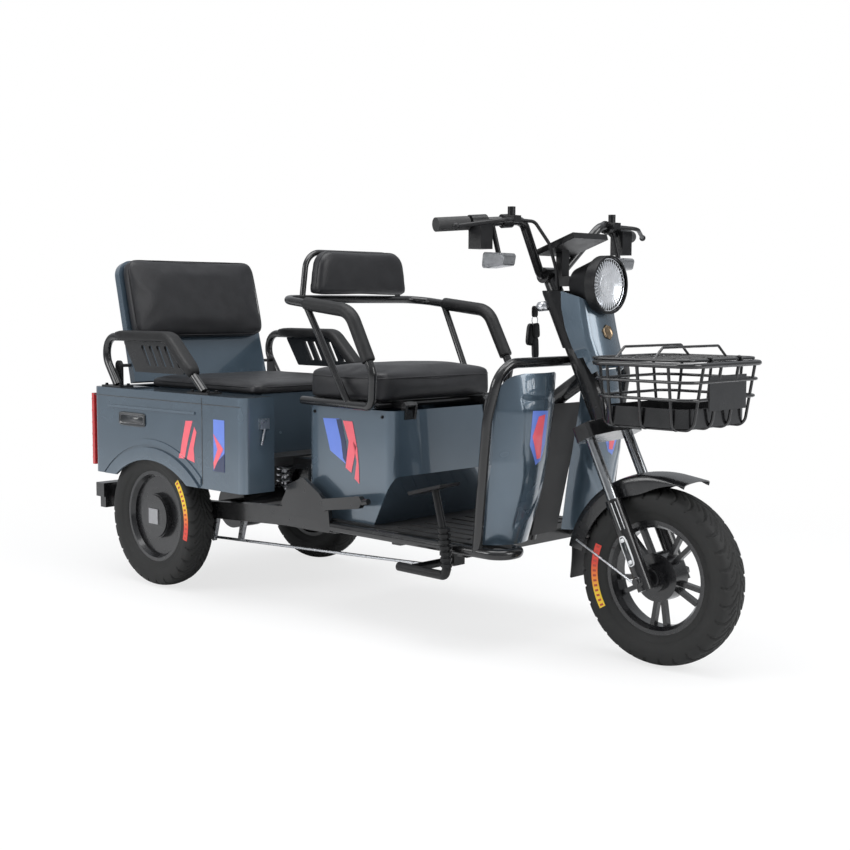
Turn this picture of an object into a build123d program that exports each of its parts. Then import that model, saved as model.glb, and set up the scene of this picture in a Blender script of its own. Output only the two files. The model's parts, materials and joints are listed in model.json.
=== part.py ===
from build123d import *
import os
from math import cos, radians, sin, tan

# Electric tricycle with a driver's seat, a two-place rear seat and a front basket.
# Millimetres. +X forward, +Y to the vehicle's left, +Z up.
# x is measured from the rear axle and z from the ground; at the end every part is shifted
# along X, so that the origin lies on the ground under the middle of the vehicle.

# ---- driving dimensions -------------------------------------------------------------------
WHEELBASE = 1534.0
TRACK = 600.0                # centre to centre of the rear wheels
WHEEL_RADIUS = 205.0
TYRE_WIDTH = 88.0
RIM_RADIUS = 134.0           # outer edge of the rim's flange
RIM_WIDTH = 56.0
FLANGE = 4.0                 # thickness of the rim's flange
BEAD_DEPTH = 6.0             # bead seat below the flange's edge
RAKE = 26.1                  # steering axis, degrees from the vertical

RUN_GAP = 6.0                # between parts that move past each other
SEAT_GAP = 0.3               # between a soft part and what it rests on
SHAFT_GAP = 0.05             # radial play of a shaft in its bore
SKIN = 3.0                   # panels of the body

BODY_HALF = 355.0            # outer face of the rear body's sides
BODY_REAR = -271.0
BODY_FRONT = 450.0
BODY_TOP = 573.0
BODY_BOTTOM = 316.0
SIDE_BOX = 107.0             # width of the hollow side over each rear wheel
BODY_CORNER = 24.0           # rounded front corner of the side
ARCH_RADIUS = 299.0          # wheel arch opening in the outer skin
ARCH_CENTRE_X = 27.0
ARCH_HEIGHT = 58.0           # rise of the arch above the body's bottom edge
ARCH_LIP = 36.0              # width of the raised lip round the arch
LIP_PROUD = 6.0
SEAM_X = 271.0
DECK_TOP = 407.0             # load floor under the rear seat
DECK_SHEET = 4.0

FLOOR_TOP = 262.0            # top of the footboard's sheet
FLOOR_SHEET = 4.0
FLOOR_HALF = 236.0
FLOOR_STEP_X = 662.0         # the sheet is narrower behind this, between the trailing arms
FLOOR_FRONT = 1172.0
RAIL_Y = 120.0
RAIL_WIDTH = 40.0
RAIL_HEIGHT = 30.0
RAIL_REAR = 512.0
SIDE_TUBE_Y = 250.0
SIDE_TUBE_R = 12.5
DECK_RAIL_Y = 165.0
ARM_INNER = 217.0            # trailing arms of the rear axle
ARM_THICK = 26.0
ARM_PIVOT_X = 612.0
ARM_PIVOT_Z = 243.0
SPRING_SEAT_Z = 232.0
BUMPER_X = -275.0
BUMPER_Z = 256.0
BUMPER_HALF = 335.0
BUMPER_SECTION = 42.0

HEAD_LOW = 386.0             # head tube, measured along the steering axis from the front axle
HEAD_HIGH = 636.0
HEAD_R = 27.0
STEERER_R = 14.0
STEM_R = 19.0                # stem of the handlebar, round the steerer above the head tube
CLAMP_LOW = 345.0            # lower fork clamp, along the axis
CLAMP_HIGH = 381.0
FORK_HALF = 74.0             # stanchion offset from the middle plane
STANCHION_R = 12.5
FORK_LEG_R = 19.0
FORK_LEG_TOP = 195.0         # top of the lower legs, along the axis
FRONT_AXLE_R = 7.5
FENDER_HALF = 53.0           # outer faces of the front mudguard
LUG_ALONG = 186.0            # mudguard lugs on the lower legs, along the axis
BAR_R = 11.0                 # handlebar tube
BAR_CLAMP = 768.0            # handlebar clamp, along the axis

GUARD_R = 12.0               # leg guard hoop
GUARD_HALF = 259.0
GUARD_TOP = 690.0

BOX_REAR = 548.0             # box under the driver's seat
BOX_FRONT = 870.0
BOX_HALF = 215.0
BOX_TOP = 556.0
BOX_TOE_X = 806.0            # foot of the sloping toe space
BOX_TOE_Z = 389.0
BOX_CORNER = 26.0
BATTERY = (280.0, 300.0, 170.0)

HINGE_X = 868.0              # driver's seat hinge
HINGE_Z = 569.0
HINGE_R = 4.0
HINGE_Y = 150.0
HINGE_HALF = 12.0            # half width of the seat frame's hinge tab
SEAT_TUBE_R = 11.0
ARM_Y = 262.0
SEAT_REST = 0.5              # seat frame above the box's rim
SEAT_PAN = 3.0
CUSHION_REAR = 556.0
CUSHION_FRONT = 822.0
CUSHION_HALF = 211.0
CUSHION_THICK = 76.0
HEADREST_X = 492.0
HEADREST_LOW = 856.0
HEADREST_HIGH = 962.0

BACK_LEAN = 14.6             # rear backrest, degrees from the vertical
BACK_PIVOT_X = -205.0        # point on the front face of the backrest's shell
BACK_PIVOT_Z = 618.0
BACK_DROP = 34.0             # the shell's lower edge below that point, along the lean
BACK_HINGE = (20.0, -12.0)   # hinge pin, up and forward from the same point, along the lean
BACK_PIN_R = 5.0
BACK_HALF = 250.0
BACK_HEIGHT = 345.0
BACK_SHELL = 24.0
REAR_CUSHION_FRONT = 368.0
REAR_CUSHION_REAR = -150.0
REAR_CUSHION_HALF = 244.0
REAR_CUSHION_BOTTOM = 574.0
REAR_CUSHION_THICK = 28.0
ARMREST_Y = 314.0
ARMREST_R = 12.0
ARMREST_Z = 722.0            # centre line of the hoop's level run

BASKET_REAR = 1428.0
BASKET_FRONT = 1700.0
BASKET_HALF = 150.0
BASKET_TOP = 697.0
BASKET_BOTTOM = 556.0
LID_HINGE_X = 1686.0
LID_RISE = 10.0              # axis of the lid's wire above the rim's axis
WIRE_R = 3.5

LAMP_R = 68.0
LAMP_Z = 871.0
LAMP_FRONT = 1378.0
LAMP_DEPTH = 92.0

COWL_SECTIONS = [            # along the axis, rear edge, side edge and nose ahead of it, half width
    (487.0, 44.0, 67.0, 74.0, 48.0),
    (512.0, 30.0, 68.0, 81.0, 55.0),
    (565.0, 21.0, 72.0, 97.0, 60.0),
    (610.0, 23.0, 84.0, 111.0, 60.0),
    (660.0, 42.0, 99.0, 127.0, 60.0),
    (705.0, 64.0, 113.0, 141.0, 60.0),
]
COWL_ROOF = 652.0
COWL_TOP = 856.0             # level rear part of the cowl's upper edge above the ground
COVER_LOW = 579.0            # black cover behind the head tube
COVER_HIGH = 752.0
COVER_TOP = 858.0            # level top of that cover above the ground
LOCK_Y = -20.0
BAR_END = (1169.0, 366.0, 1002.0)
GRIP_R = 16.0
GRIP_START = 0.66            # share of the handlebar's outer run where the grip begins
MIRROR_R = 4.0               # threaded mirror boss
MIRROR_DEPTH = 18.0

# ---- values that follow from them ----------------------------------------------------------
VEHICLE_FRONT = WHEELBASE + WHEEL_RADIUS
LEAN = radians(BACK_LEAN)
VEHICLE_REAR = BACK_PIVOT_X - BACK_HEIGHT * sin(LEAN) - BACK_SHELL * cos(LEAN)
SEAT_TUBE_Z = BOX_TOP + SEAT_REST + SEAT_TUBE_R
MIDDLE_X = (VEHICLE_FRONT + VEHICLE_REAR) / 2
SIDE_INNER = BODY_HALF - SIDE_BOX
RAIL_TOP = FLOOR_TOP - FLOOR_SHEET
DECK_RAIL_TOP = DECK_TOP - DECK_SHEET
AXIS = (-sin(radians(RAKE)), 0.0, cos(radians(RAKE)))


# ---- helpers -------------------------------------------------------------------------------
def block(x0, x1, y0, y1, z0, z1):
    """A box between two corners."""
    return Pos((x0 + x1) / 2, (y0 + y1) / 2, (z0 + z1) / 2) * Box(x1 - x0, y1 - y0, z1 - z0)


def rod(start, end, radius):
    """A round bar between two points."""
    way = Vector(*end) - Vector(*start)
    return extrude(Plane(origin=start, z_dir=way) * Circle(radius), amount=way.length)


def pipe(points, bends, radius):
    """A round bar along straight runs joined by tangent arcs."""
    path = FilletPolyline(*points, radius=bends)
    return sweep(Plane(origin=path @ 0, z_dir=path % 0) * Circle(radius), path=path)


def side_prism(outline, y0, y1):
    """Extrudes an outline drawn in X and Z between two Y planes."""
    plane = Plane(origin=(0, y1, 0), x_dir=(1, 0, 0), z_dir=(0, -1, 0))
    return extrude(plane * outline, amount=y1 - y0)


def front_prism(outline, x0, x1):
    """Extrudes an outline drawn in Y and Z between two X planes."""
    plane = Plane(origin=(x0, 0, 0), x_dir=(0, 1, 0), z_dir=(1, 0, 0))
    return extrude(plane * outline, amount=x1 - x0)


def plan_prism(outline, z0, z1):
    """Extrudes an outline drawn in X and Y between two heights."""
    return extrude(Plane.XY.offset(z0) * outline, amount=z1 - z0)


def polygon(points, bend=0.0):
    """A filled outline with straight sides and rounded corners."""
    if bend > 0:
        return make_face(FilletPolyline(*points, radius=bend, close=True))
    return make_face(Polyline(*points, close=True))


def both_sides(shape):
    """A shape and its mirror image across the middle plane."""
    return [shape, mirror(shape, about=Plane.XZ)]


def pair(shape):
    """The same as one compound of separate solids."""
    return Compound(children=[solid for half in both_sides(shape) for solid in half.solids()])


def on_axis(along, aside=0.0, ahead=0.0):
    """A point by its distance along the steering axis, to the left of it and ahead of it."""
    lean = radians(RAKE)
    x = WHEELBASE - along * sin(lean) + ahead * cos(lean)
    z = WHEEL_RADIUS + along * cos(lean) + ahead * sin(lean)
    return (x, aside, z)


def steering_frame(along=0.0, aside=0.0, ahead=0.0):
    """Local axes of the steering: X ahead, Y left, Z up along the axis."""
    lean = radians(RAKE)
    return Plane(origin=on_axis(along, aside, ahead), x_dir=(cos(lean), 0, sin(lean)), z_dir=AXIS)


# ---- wheels --------------------------------------------------------------------------------
def tyre():
    """A tyre round the Y axis at the origin, with a crowned tread and rounded shoulders."""
    half = TYRE_WIDTH / 2
    seat = RIM_WIDTH / 2 - FLANGE
    bead = RIM_RADIUS - BEAD_DEPTH
    lip = RIM_RADIUS + 1.0
    left = [(-seat, lip), (-half + 4, lip + 12), (-half, WHEEL_RADIUS - 36)]
    left += [(-half + 5, WHEEL_RADIUS - 18), (-half + 20, WHEEL_RADIUS - 5), (0, WHEEL_RADIUS)]
    crown = Spline(*(left + [(-y, r) for y, r in reversed(left[:-1])]))
    base = Polyline((seat, lip), (seat, bead), (-seat, bead), (-seat, lip))
    face = make_face([crown] + list(base.edges()))
    plane = Plane(origin=(0, 0, 0), x_dir=(0, 1, 0), z_dir=(-1, 0, 0))
    return revolve(plane * face, axis=Axis.Y)


def ring(y0, y1, inner, outer):
    """A flat ring round the Y axis."""
    return side_prism(Circle(outer) - Circle(inner), y0, y1)


def rim_barrel():
    """The rim's barrel with its flanges and bead seats."""
    half = RIM_WIDTH / 2
    profile = [
        (-half, RIM_RADIUS),
        (-half + FLANGE, RIM_RADIUS),
        (-half + FLANGE, RIM_RADIUS - BEAD_DEPTH),
        (half - FLANGE, RIM_RADIUS - BEAD_DEPTH),
        (half - FLANGE, RIM_RADIUS),
        (half, RIM_RADIUS),
        (half, RIM_RADIUS - 12),
        (half - 12, RIM_RADIUS - 20),
        (-half + 12, RIM_RADIUS - 20),
        (-half, RIM_RADIUS - 12),
    ]
    plane = Plane(origin=(0, 0, 0), x_dir=(0, 1, 0), z_dir=(-1, 0, 0))
    return revolve(plane * polygon(profile), axis=Axis.Y)


def front_rim():
    """Cast front wheel: five double spokes, a drum hub and the axle's bore."""
    bore = FRONT_AXLE_R + SHAFT_GAP
    wheel = rim_barrel() + ring(-24, 24, 30, 56) + ring(-38, 38, bore, 32)
    for index in range(5):
        for lean in (-9, 9):
            spoke = Pos(85, 0, 0) * Box(76, 15, 11)
            wheel += Rot(0, 72 * index + 18 + lean, 0) * spoke
    return wheel - side_prism(Circle(bore), -60, 60)


def rear_wheel():
    """Deep dished rear wheel with a round cover over the brake hub, outside at -Y."""
    bore = 12.0 + SHAFT_GAP
    dish = ring(-10, -2, 60, RIM_RADIUS - 16)
    hub = ring(-26, 40, bore, 66)
    cap = side_prism(Circle(62), -30, -26)
    plate = block(-22, 22, -33, -30, -22, 22)
    blind = side_prism(Circle(bore), -14, 41)
    return rim_barrel() + dish + hub + cap + plate - blind


# ---- frame ---------------------------------------------------------------------------------
def deck_rails():
    """Upper rails under the load floor, their uprights and cross members."""
    low = DECK_RAIL_TOP - RAIL_HEIGHT
    rails = []
    for side in (-1, 1):
        y0, y1 = sorted((side * (DECK_RAIL_Y - 15), side * (DECK_RAIL_Y + 15)))
        rails.append(block(BODY_REAR + 6, RAIL_REAR + 30, y0, y1, low, DECK_RAIL_TOP))
        rails.append(block(RAIL_REAR, RAIL_REAR + 30, y0, y1, RAIL_TOP - RAIL_HEIGHT, DECK_RAIL_TOP))
    for x in (BODY_REAR + 6, -60.0, RAIL_REAR):
        rails.append(block(x, x + 30, -DECK_RAIL_Y, DECK_RAIL_Y, low, DECK_RAIL_TOP))
    return rails


def floor_rails():
    """Lower rails under the footboard, their cross members and the side tubes with front loops."""
    low = RAIL_TOP - RAIL_HEIGHT
    parts = []
    for side in (-1, 1):
        y0, y1 = sorted((side * (RAIL_Y - RAIL_WIDTH / 2), side * (RAIL_Y + RAIL_WIDTH / 2)))
        parts.append(block(RAIL_REAR, FLOOR_FRONT - 20, y0, y1, low, RAIL_TOP))
    parts.append(block(RAIL_REAR, RAIL_REAR + 30, -DECK_RAIL_Y - 15, DECK_RAIL_Y + 15, low, RAIL_TOP - 4))
    parts.append(rod((ARM_PIVOT_X, -ARM_INNER, ARM_PIVOT_Z), (ARM_PIVOT_X, ARM_INNER, ARM_PIVOT_Z), 14))
    for x in (FLOOR_STEP_X, 900.0, FLOOR_FRONT - 50):
        parts.append(block(x, x + 30, -SIDE_TUBE_Y + 6, SIDE_TUBE_Y - 6, low, RAIL_TOP - 4))
    tube_z = FLOOR_TOP - SIDE_TUBE_R - 2
    for side in (-1, 1):
        path = [
            (FLOOR_STEP_X + 26, side * SIDE_TUBE_Y, tube_z),
            (1262, side * SIDE_TUBE_Y, tube_z),
            (1262, side * 165, tube_z),
            (1120, side * 150, tube_z),
        ]
        parts.append(pipe(path, (40, 40), SIDE_TUBE_R))
    return parts


def bumper():
    """Square cross tube behind the rear wheels, hung from the deck rails, with two stubs below."""
    half = BUMPER_SECTION / 2
    parts = [block(BUMPER_X - half, BUMPER_X + half, -BUMPER_HALF, BUMPER_HALF, BUMPER_Z - half, BUMPER_Z + half)]
    for side in (-1, 1):
        y0, y1 = sorted((side * (DECK_RAIL_Y - 15), side * (DECK_RAIL_Y + 15)))
        parts.append(block(BUMPER_X, BODY_REAR + 30, y0, y1, BUMPER_Z - half, BUMPER_Z + half))
        parts.append(block(BODY_REAR + SKIN + 1, BODY_REAR + 30, y0, y1, BUMPER_Z, DECK_RAIL_TOP - 5))
        y0, y1 = sorted((side * 290, side * 325))
        parts.append(block(BUMPER_X - 14, BUMPER_X + 14, y0, y1, BUMPER_Z - half - 34, BUMPER_Z - half))
    return parts


def frame():
    """Welded main frame with the head tube."""
    head = rod(on_axis(HEAD_LOW), on_axis(HEAD_HIGH), HEAD_R)
    down = pipe([(1310, 0, 655), (1222, 0, 598), (1186, 0, 440), (1138, 0, RAIL_TOP - 12)], (50, 160), 20.0)
    parts = deck_rails() + floor_rails() + bumper() + [head, down]
    welded = parts[0]
    for part in parts[1:]:
        welded += part
    bore = rod(on_axis(HEAD_LOW - 10), on_axis(HEAD_HIGH + 10), STEERER_R + SHAFT_GAP)
    return welded - bore


def leg_guard(welded_frame):
    """Hoop of round tube that runs up one side of the footboard, across and down the other."""
    foot = RAIL_TOP - 8
    top_x = on_axis(0)[0] - tan(radians(RAKE)) * (GUARD_TOP - WHEEL_RADIUS)
    bar_x = top_x - HEAD_R / cos(radians(RAKE)) - GUARD_R + 1
    left = [(1190, GUARD_HALF - 8, foot), (1226, GUARD_HALF, 560), (bar_x, GUARD_HALF - 12, GUARD_TOP)]
    right = [(x, -y, z) for x, y, z in reversed(left)]
    return pipe(left + right, (200, 62, 62, 200), GUARD_R) - welded_frame


def footboard(welded_frame):
    """Pressed sheet with lengthwise ribs, cut out round the down tube."""
    narrow = ARM_INNER - 8
    sheet = block(RAIL_REAR + 32, FLOOR_FRONT, -narrow, narrow, RAIL_TOP, FLOOR_TOP)
    sheet += block(FLOOR_STEP_X, FLOOR_FRONT, -FLOOR_HALF, FLOOR_HALF, RAIL_TOP, FLOOR_TOP)
    for index in range(9):
        y = (index - 4) * 50.0
        sheet += block(BOX_FRONT + 12, 1120, y - 5, y + 5, FLOOR_TOP, FLOOR_TOP + 3)
    return sheet - welded_frame


# ---- leg shields ---------------------------------------------------------------------------
def lobe_solid(grow=0.0):
    """Convex lobe on the left: D-shaped plan sections from the foot to the top."""
    sections = [
        (FLOOR_TOP, (1184, 72), (1236, 150), (1180, 236)),
        (360, (1208, 58), (1264, 146), (1206, 240)),
        (460, (1229, 50), (1284, 146), (1222, 244)),
        (580, (1252, 50), (1292, 142), (1226, 244)),
        (672, (1262, 52), (1278, 140), (1226, 236)),
    ]
    faces = []
    for z, inner, peak, outer in sections:
        front = ThreePointArc((inner[0] - grow, inner[1]), (peak[0] - grow, peak[1]), (outer[0] - grow, outer[1]))
        back = Line((outer[0] - grow, outer[1]), (inner[0] - grow, inner[1]))
        faces.append(Plane.XY.offset(z) * make_face([front, back]))
    return loft(faces)


def leg_shield():
    """One thin lobe with a recessed panel in its face; the other is its mirror image."""
    full = lobe_solid()
    hollow = lobe_solid(grow=4.0)
    shell = full - hollow
    outline = polygon([(44, FLOOR_TOP), (240, FLOOR_TOP), (246, 560), (232, 666), (46, 666)], 16)
    shell = shell & front_prism(outline, 1100, 1400)
    panel = polygon([(70, 300), (130, 330), (166, 420), (166, 610), (64, 618), (62, 420)], 22)
    recess = front_prism(panel, 1100, 1400) & (full - Pos(-1.8, 0, 0) * full)
    return (shell - recess).solid()


def leg_shield_center():
    """Black panel between the lobes, in front of the down tube."""
    face = [(1166, FLOOR_TOP), (1188, FLOOR_TOP), (1233, 460), (1256, 588)]
    rear = [(1250, 588), (1227, 460), (1184, 268), (1166, 268)]
    return side_prism(polygon(face + rear), -48.5, 48.5)


# ---- box under the driver's seat -----------------------------------------------------------
def box_profile(inset):
    """Side view of the seat box, inset by a wall thickness."""
    floor_z = FLOOR_TOP + inset
    return polygon([
        (BOX_REAR + inset, floor_z),
        (BOX_TOE_X - inset * 0.5, floor_z),
        (BOX_FRONT - inset, BOX_TOE_Z + inset * 0.6),
        (BOX_FRONT - inset, BOX_TOP + 1),
        (BOX_REAR + inset, BOX_TOP + 1),
    ])


def seat_box():
    """Hollow box with rounded corners, a recessed side panel, a front rib and louvres."""
    plan = Pos((BOX_REAR + BOX_FRONT) / 2, 0) * RectangleRounded(
        BOX_FRONT - BOX_REAR, 2 * BOX_HALF, BOX_CORNER)
    inner_plan = Pos((BOX_REAR + BOX_FRONT) / 2, 0) * RectangleRounded(
        BOX_FRONT - BOX_REAR - 2 * SKIN, 2 * (BOX_HALF - SKIN), BOX_CORNER - SKIN)
    outer = side_prism(box_profile(0), -BOX_HALF, BOX_HALF) & plan_prism(plan, FLOOR_TOP, BOX_TOP)
    inner = side_prism(box_profile(SKIN), -BOX_HALF, BOX_HALF) & plan_prism(inner_plan, FLOOR_TOP, BOX_TOP + 2)
    box = outer - inner
    lug = polygon([(BOX_FRONT - 14, BOX_TOP - 24), (BOX_FRONT + 1, BOX_TOP - 24), (HINGE_X + 9, HINGE_Z), (HINGE_X, HINGE_Z + 9),
                   (HINGE_X - 9, HINGE_Z)], 3)
    for side in (-1, 1):
        middle = side * HINGE_Y
        for y in (middle - HINGE_HALF - 9, middle + HINGE_HALF + 1):
            box += side_prism(lug, y, y + 8)
        box += rod((HINGE_X, middle - HINGE_HALF - 9, HINGE_Z), (HINGE_X, middle + HINGE_HALF + 9, HINGE_Z), HINGE_R)
    return box


def battery_pack():
    """Battery pack as one plain block on the seat box's floor."""
    length, width, height = BATTERY
    base = FLOOR_TOP + SKIN
    x0 = BOX_REAR + 20
    return block(x0, x0 + length - 60, -width / 2, width / 2, base, base + height)


# ---- rear body -----------------------------------------------------------------------------
def side_outline():
    """Side view of the rear body's side, with the wheel arch."""
    plate = polygon([
        (BODY_REAR, BODY_BOTTOM), (BODY_FRONT, BODY_BOTTOM), (BODY_FRONT, BODY_TOP), (BODY_REAR, BODY_TOP)])
    drop = ARCH_RADIUS - ARCH_HEIGHT
    return plate - Pos(ARCH_CENTRE_X, BODY_BOTTOM - drop) * Circle(ARCH_RADIUS)


def arch_band(inner, outer):
    """Part of a ring that follows the wheel arch, down to the body's bottom edge."""
    drop = ARCH_RADIUS - ARCH_HEIGHT
    band = Circle(ARCH_RADIUS + outer) - Circle(ARCH_RADIUS + inner)
    low = BODY_BOTTOM + 1
    window = polygon([(BODY_REAR + 6, low), (SEAM_X - 6, low), (SEAM_X - 6, 520), (BODY_REAR + 6, 520)])
    return (Pos(ARCH_CENTRE_X, BODY_BOTTOM - drop) * band) & window


def side_panel():
    """Right side of the rear body: a hollow box, open below, over the wheel."""
    plan = polygon([
        (BODY_REAR, -BODY_HALF), (BODY_FRONT, -BODY_HALF), (BODY_FRONT, -SIDE_INNER), (BODY_REAR, -SIDE_INNER)])
    plan = fillet(plan.vertices().filter_by(lambda v: v.Y < -SIDE_INNER - 1), BODY_CORNER)
    inside = offset(plan, -SKIN, kind=Kind.INTERSECTION)
    outer = side_prism(side_outline(), -BODY_HALF, -SIDE_INNER) & plan_prism(plan, BODY_BOTTOM, BODY_TOP)
    shell = outer - plan_prism(inside, BODY_BOTTOM - 1, BODY_TOP - SKIN)
    shell += side_prism(arch_band(0, ARCH_LIP), -BODY_HALF - LIP_PROUD, -BODY_HALF)
    shell += side_prism(arch_band(ARCH_LIP + 8, ARCH_LIP + 24), -BODY_HALF - LIP_PROUD / 2, -BODY_HALF)
    line = polygon([(-190, 516), (240, 518), (240, 525), (-190, 523)])
    shell += side_prism(line, -BODY_HALF - 3, -BODY_HALF)
    return shell


def cargo_floor():
    """Load floor between the two sides, with a folded front edge."""
    gap = 0.0
    sheet = block(BODY_REAR + SKIN, BODY_FRONT, -SIDE_INNER + gap, SIDE_INNER - gap, DECK_RAIL_TOP, DECK_TOP)
    lip = block(BODY_FRONT - 4, BODY_FRONT, -SIDE_INNER, SIDE_INNER, DECK_RAIL_TOP - 20, DECK_RAIL_TOP)
    rails = block(BODY_REAR, RAIL_REAR + 40, -DECK_RAIL_Y - 15, DECK_RAIL_Y + 15, DECK_RAIL_TOP - 31, DECK_RAIL_TOP)
    return sheet + (lip - rails)


def rear_panel():
    """Panel that closes the load space behind the seat."""
    panel = block(BODY_REAR, BODY_REAR + SKIN, -SIDE_INNER, SIDE_INNER, BODY_BOTTOM, BODY_TOP)
    shelf = block(BODY_REAR, BODY_REAR + 30, -SIDE_INNER, SIDE_INNER, BODY_TOP - SKIN, BODY_TOP)
    return panel + shelf


def tail_lamps():
    """Upright red lamps on the rear corners."""
    lamp = block(BODY_REAR - 12, BODY_REAR, -BODY_HALF + 2, -BODY_HALF + 44, 336, 552)
    for index in range(6):
        z = 356 + index * 35.5
        lamp += Pos(BODY_REAR - 12, -BODY_HALF + 23, z) * Rot(90, 0, 0) * Cylinder(6, 36)
    return pair(lamp)


# ---- rear seat -----------------------------------------------------------------------------
def rear_seat_base():
    """Folded sheet stand that carries the rear seat cushion over the load floor."""
    top = REAR_CUSHION_BOTTOM - SEAT_GAP
    rear, front = REAR_CUSHION_REAR + 20, REAR_CUSHION_FRONT - 12
    half = REAR_CUSHION_HALF - 30
    shell = block(rear, front, -half, half, DECK_TOP, top)
    return shell - block(rear + SKIN, front - SKIN, -half + SKIN, half - SKIN, DECK_TOP - 1, top - SKIN)


def rear_seat_cushion():
    """Thin seat cushion for two."""
    length = REAR_CUSHION_FRONT - REAR_CUSHION_REAR
    plan = Pos((REAR_CUSHION_FRONT + REAR_CUSHION_REAR) / 2, 0) * RectangleRounded(length, 2 * REAR_CUSHION_HALF, 30)
    return plan_prism(plan, REAR_CUSHION_BOTTOM, REAR_CUSHION_BOTTOM + REAR_CUSHION_THICK)


def back_plane():
    """Local axes of the rear backrest: X left, Y up along it, Z forward out of it."""
    return Plane(origin=(BACK_PIVOT_X, 0, BACK_PIVOT_Z), x_dir=(0, 1, 0), z_dir=(cos(LEAN), 0, sin(LEAN)))


def back_hinge():
    """Centre of the backrest's hinge pins in X and Z."""
    up, ahead = BACK_HINGE
    x = BACK_PIVOT_X - up * sin(LEAN) + ahead * cos(LEAN)
    return x, BACK_PIVOT_Z + up * cos(LEAN) + ahead * sin(LEAN)


def backrest_shell():
    """Tray-shaped shell of the rear backrest with rounded top corners and bushes for its pins."""
    rise = BACK_HEIGHT
    outline = polygon([
        (-BACK_HALF - 6, -BACK_DROP), (BACK_HALF + 6, -BACK_DROP), (BACK_HALF, rise), (-BACK_HALF, rise)])
    outline = fillet(outline.vertices().filter_by(lambda v: v.Y > rise / 2), 48)
    tray = extrude(back_plane() * outline, amount=-BACK_SHELL)
    inner = back_plane().offset(-BACK_SHELL - 1) * offset(outline, -4)
    shell = tray - extrude(inner, amount=BACK_SHELL - 3)
    x, z = back_hinge()
    for side in (-1, 1):
        y = side * (BACK_HALF + 5.8)
        shell += rod((x, y, z), (x, side * (BACK_HALF - 22), z), BACK_PIN_R + 5)
        shell -= rod((x, side * (BACK_HALF + 10), z), (x, side * (BACK_HALF - 16), z), BACK_PIN_R + SHAFT_GAP)
    return shell


def back_cushion():
    """Padded upper part of the rear backrest."""
    low, high = 100.0, BACK_HEIGHT - 8
    half = BACK_HALF - 10
    outline = polygon([(-half - 2, low), (half + 2, low), (half, high), (-half, high)], 30)
    return extrude(back_plane().offset(SEAT_GAP) * outline, amount=44)


def rear_armrests():
    """Bent tube hoop with a slotted side plate and the backrest's hinge pin on each side."""
    y = -ARMREST_Y
    foot = BODY_TOP + 5
    path = [(-202, y, foot), (-268, y, 668), (-236, y, ARMREST_Z), (66, y, ARMREST_Z), (228, y, foot)]
    hoop = pipe(path, (60, 45, 55), ARMREST_R)
    for x in (-202, 228):
        hoop += block(x - 48, x + 48, y - 24, y + 24, BODY_TOP, foot)
    plate = polygon([(-165, 716), (60, 716), (150, 622), (-100, 622)], 8)
    web = side_prism(plate, y - 4, y + 4)
    for index in range(5):
        x = -72 + index * 38
        slot = polygon([(x, 700), (x + 16, 700), (x + 52, 640), (x + 36, 640)], 3)
        web -= side_prism(slot, y - 5, y + 5)
    x, z = back_hinge()
    lug = block(x - 16, x + 16, y + 16, y + 24, BODY_TOP, z) + rod((x, y + 16, z), (x, y + 24, z), 16)
    pin = rod((x, y + 20, z), (x, -BACK_HALF + 14, z), BACK_PIN_R)
    return pair(hoop + web + lug + pin - block(-300, 300, y - 40, y + 80, BODY_TOP - 40, BODY_TOP))


def rear_arm_pads():
    """Soft pads on the rear armrests."""
    y = -ARMREST_Y
    base = ARMREST_Z + ARMREST_R + SEAT_GAP
    outline = polygon([(-200, base), (60, base), (60, base + 20), (-200, base + 20)], 8)
    return pair(side_prism(outline, y - 22, y + 22))


# ---- rear axle and springs -----------------------------------------------------------------
def rear_axle():
    """Axle tube with the drive motor and trailing arms that run forward to the frame."""
    reach = TRACK / 2 - 42
    tube = rod((0, -reach, WHEEL_RADIUS), (0, reach, WHEEL_RADIUS), 21)
    stubs = rod((0, -TRACK / 2 + 12, WHEEL_RADIUS), (0, TRACK / 2 - 12, WHEEL_RADIUS), 12)
    gear = rod((0, -45, WHEEL_RADIUS), (0, 40, WHEEL_RADIUS), 68)
    motor = rod((0, 40, WHEEL_RADIUS), (0, 128, WHEEL_RADIUS), 55)
    shape = tube + stubs + gear + motor
    arm = polygon([(-30, 184), (93, 205), (490, 226), (646, 226), (646, 262), (600, 276), (490, 278), (93, 252), (-30, 228)], 8)
    for side in (-1, 1):
        y0, y1 = sorted((side * ARM_INNER, side * (ARM_INNER + ARM_THICK)))
        shape += side_prism(arm, y0, y1)
        shape += Pos(0, side * DECK_RAIL_Y, SPRING_SEAT_Z - 6) * Box(66, 60, 12)
    return shape


def rear_shocks():
    """Coil springs between the axle tube and the deck rails."""
    low = SPRING_SEAT_Z
    high = DECK_RAIL_TOP - RAIL_HEIGHT
    unit = rod((0, 0, low), (0, 0, high), 9)
    turns = 7
    for index in range(turns):
        z = low + 14 + index * (high - low - 28) / (turns - 1)
        unit += Pos(0, 0, z) * Torus(21, 4)
        unit += Pos(0, 0, z) * (Cylinder(21, 3))
    return [Pos(0, side * DECK_RAIL_Y, 0) * unit for side in (-1, 1)]


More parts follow.
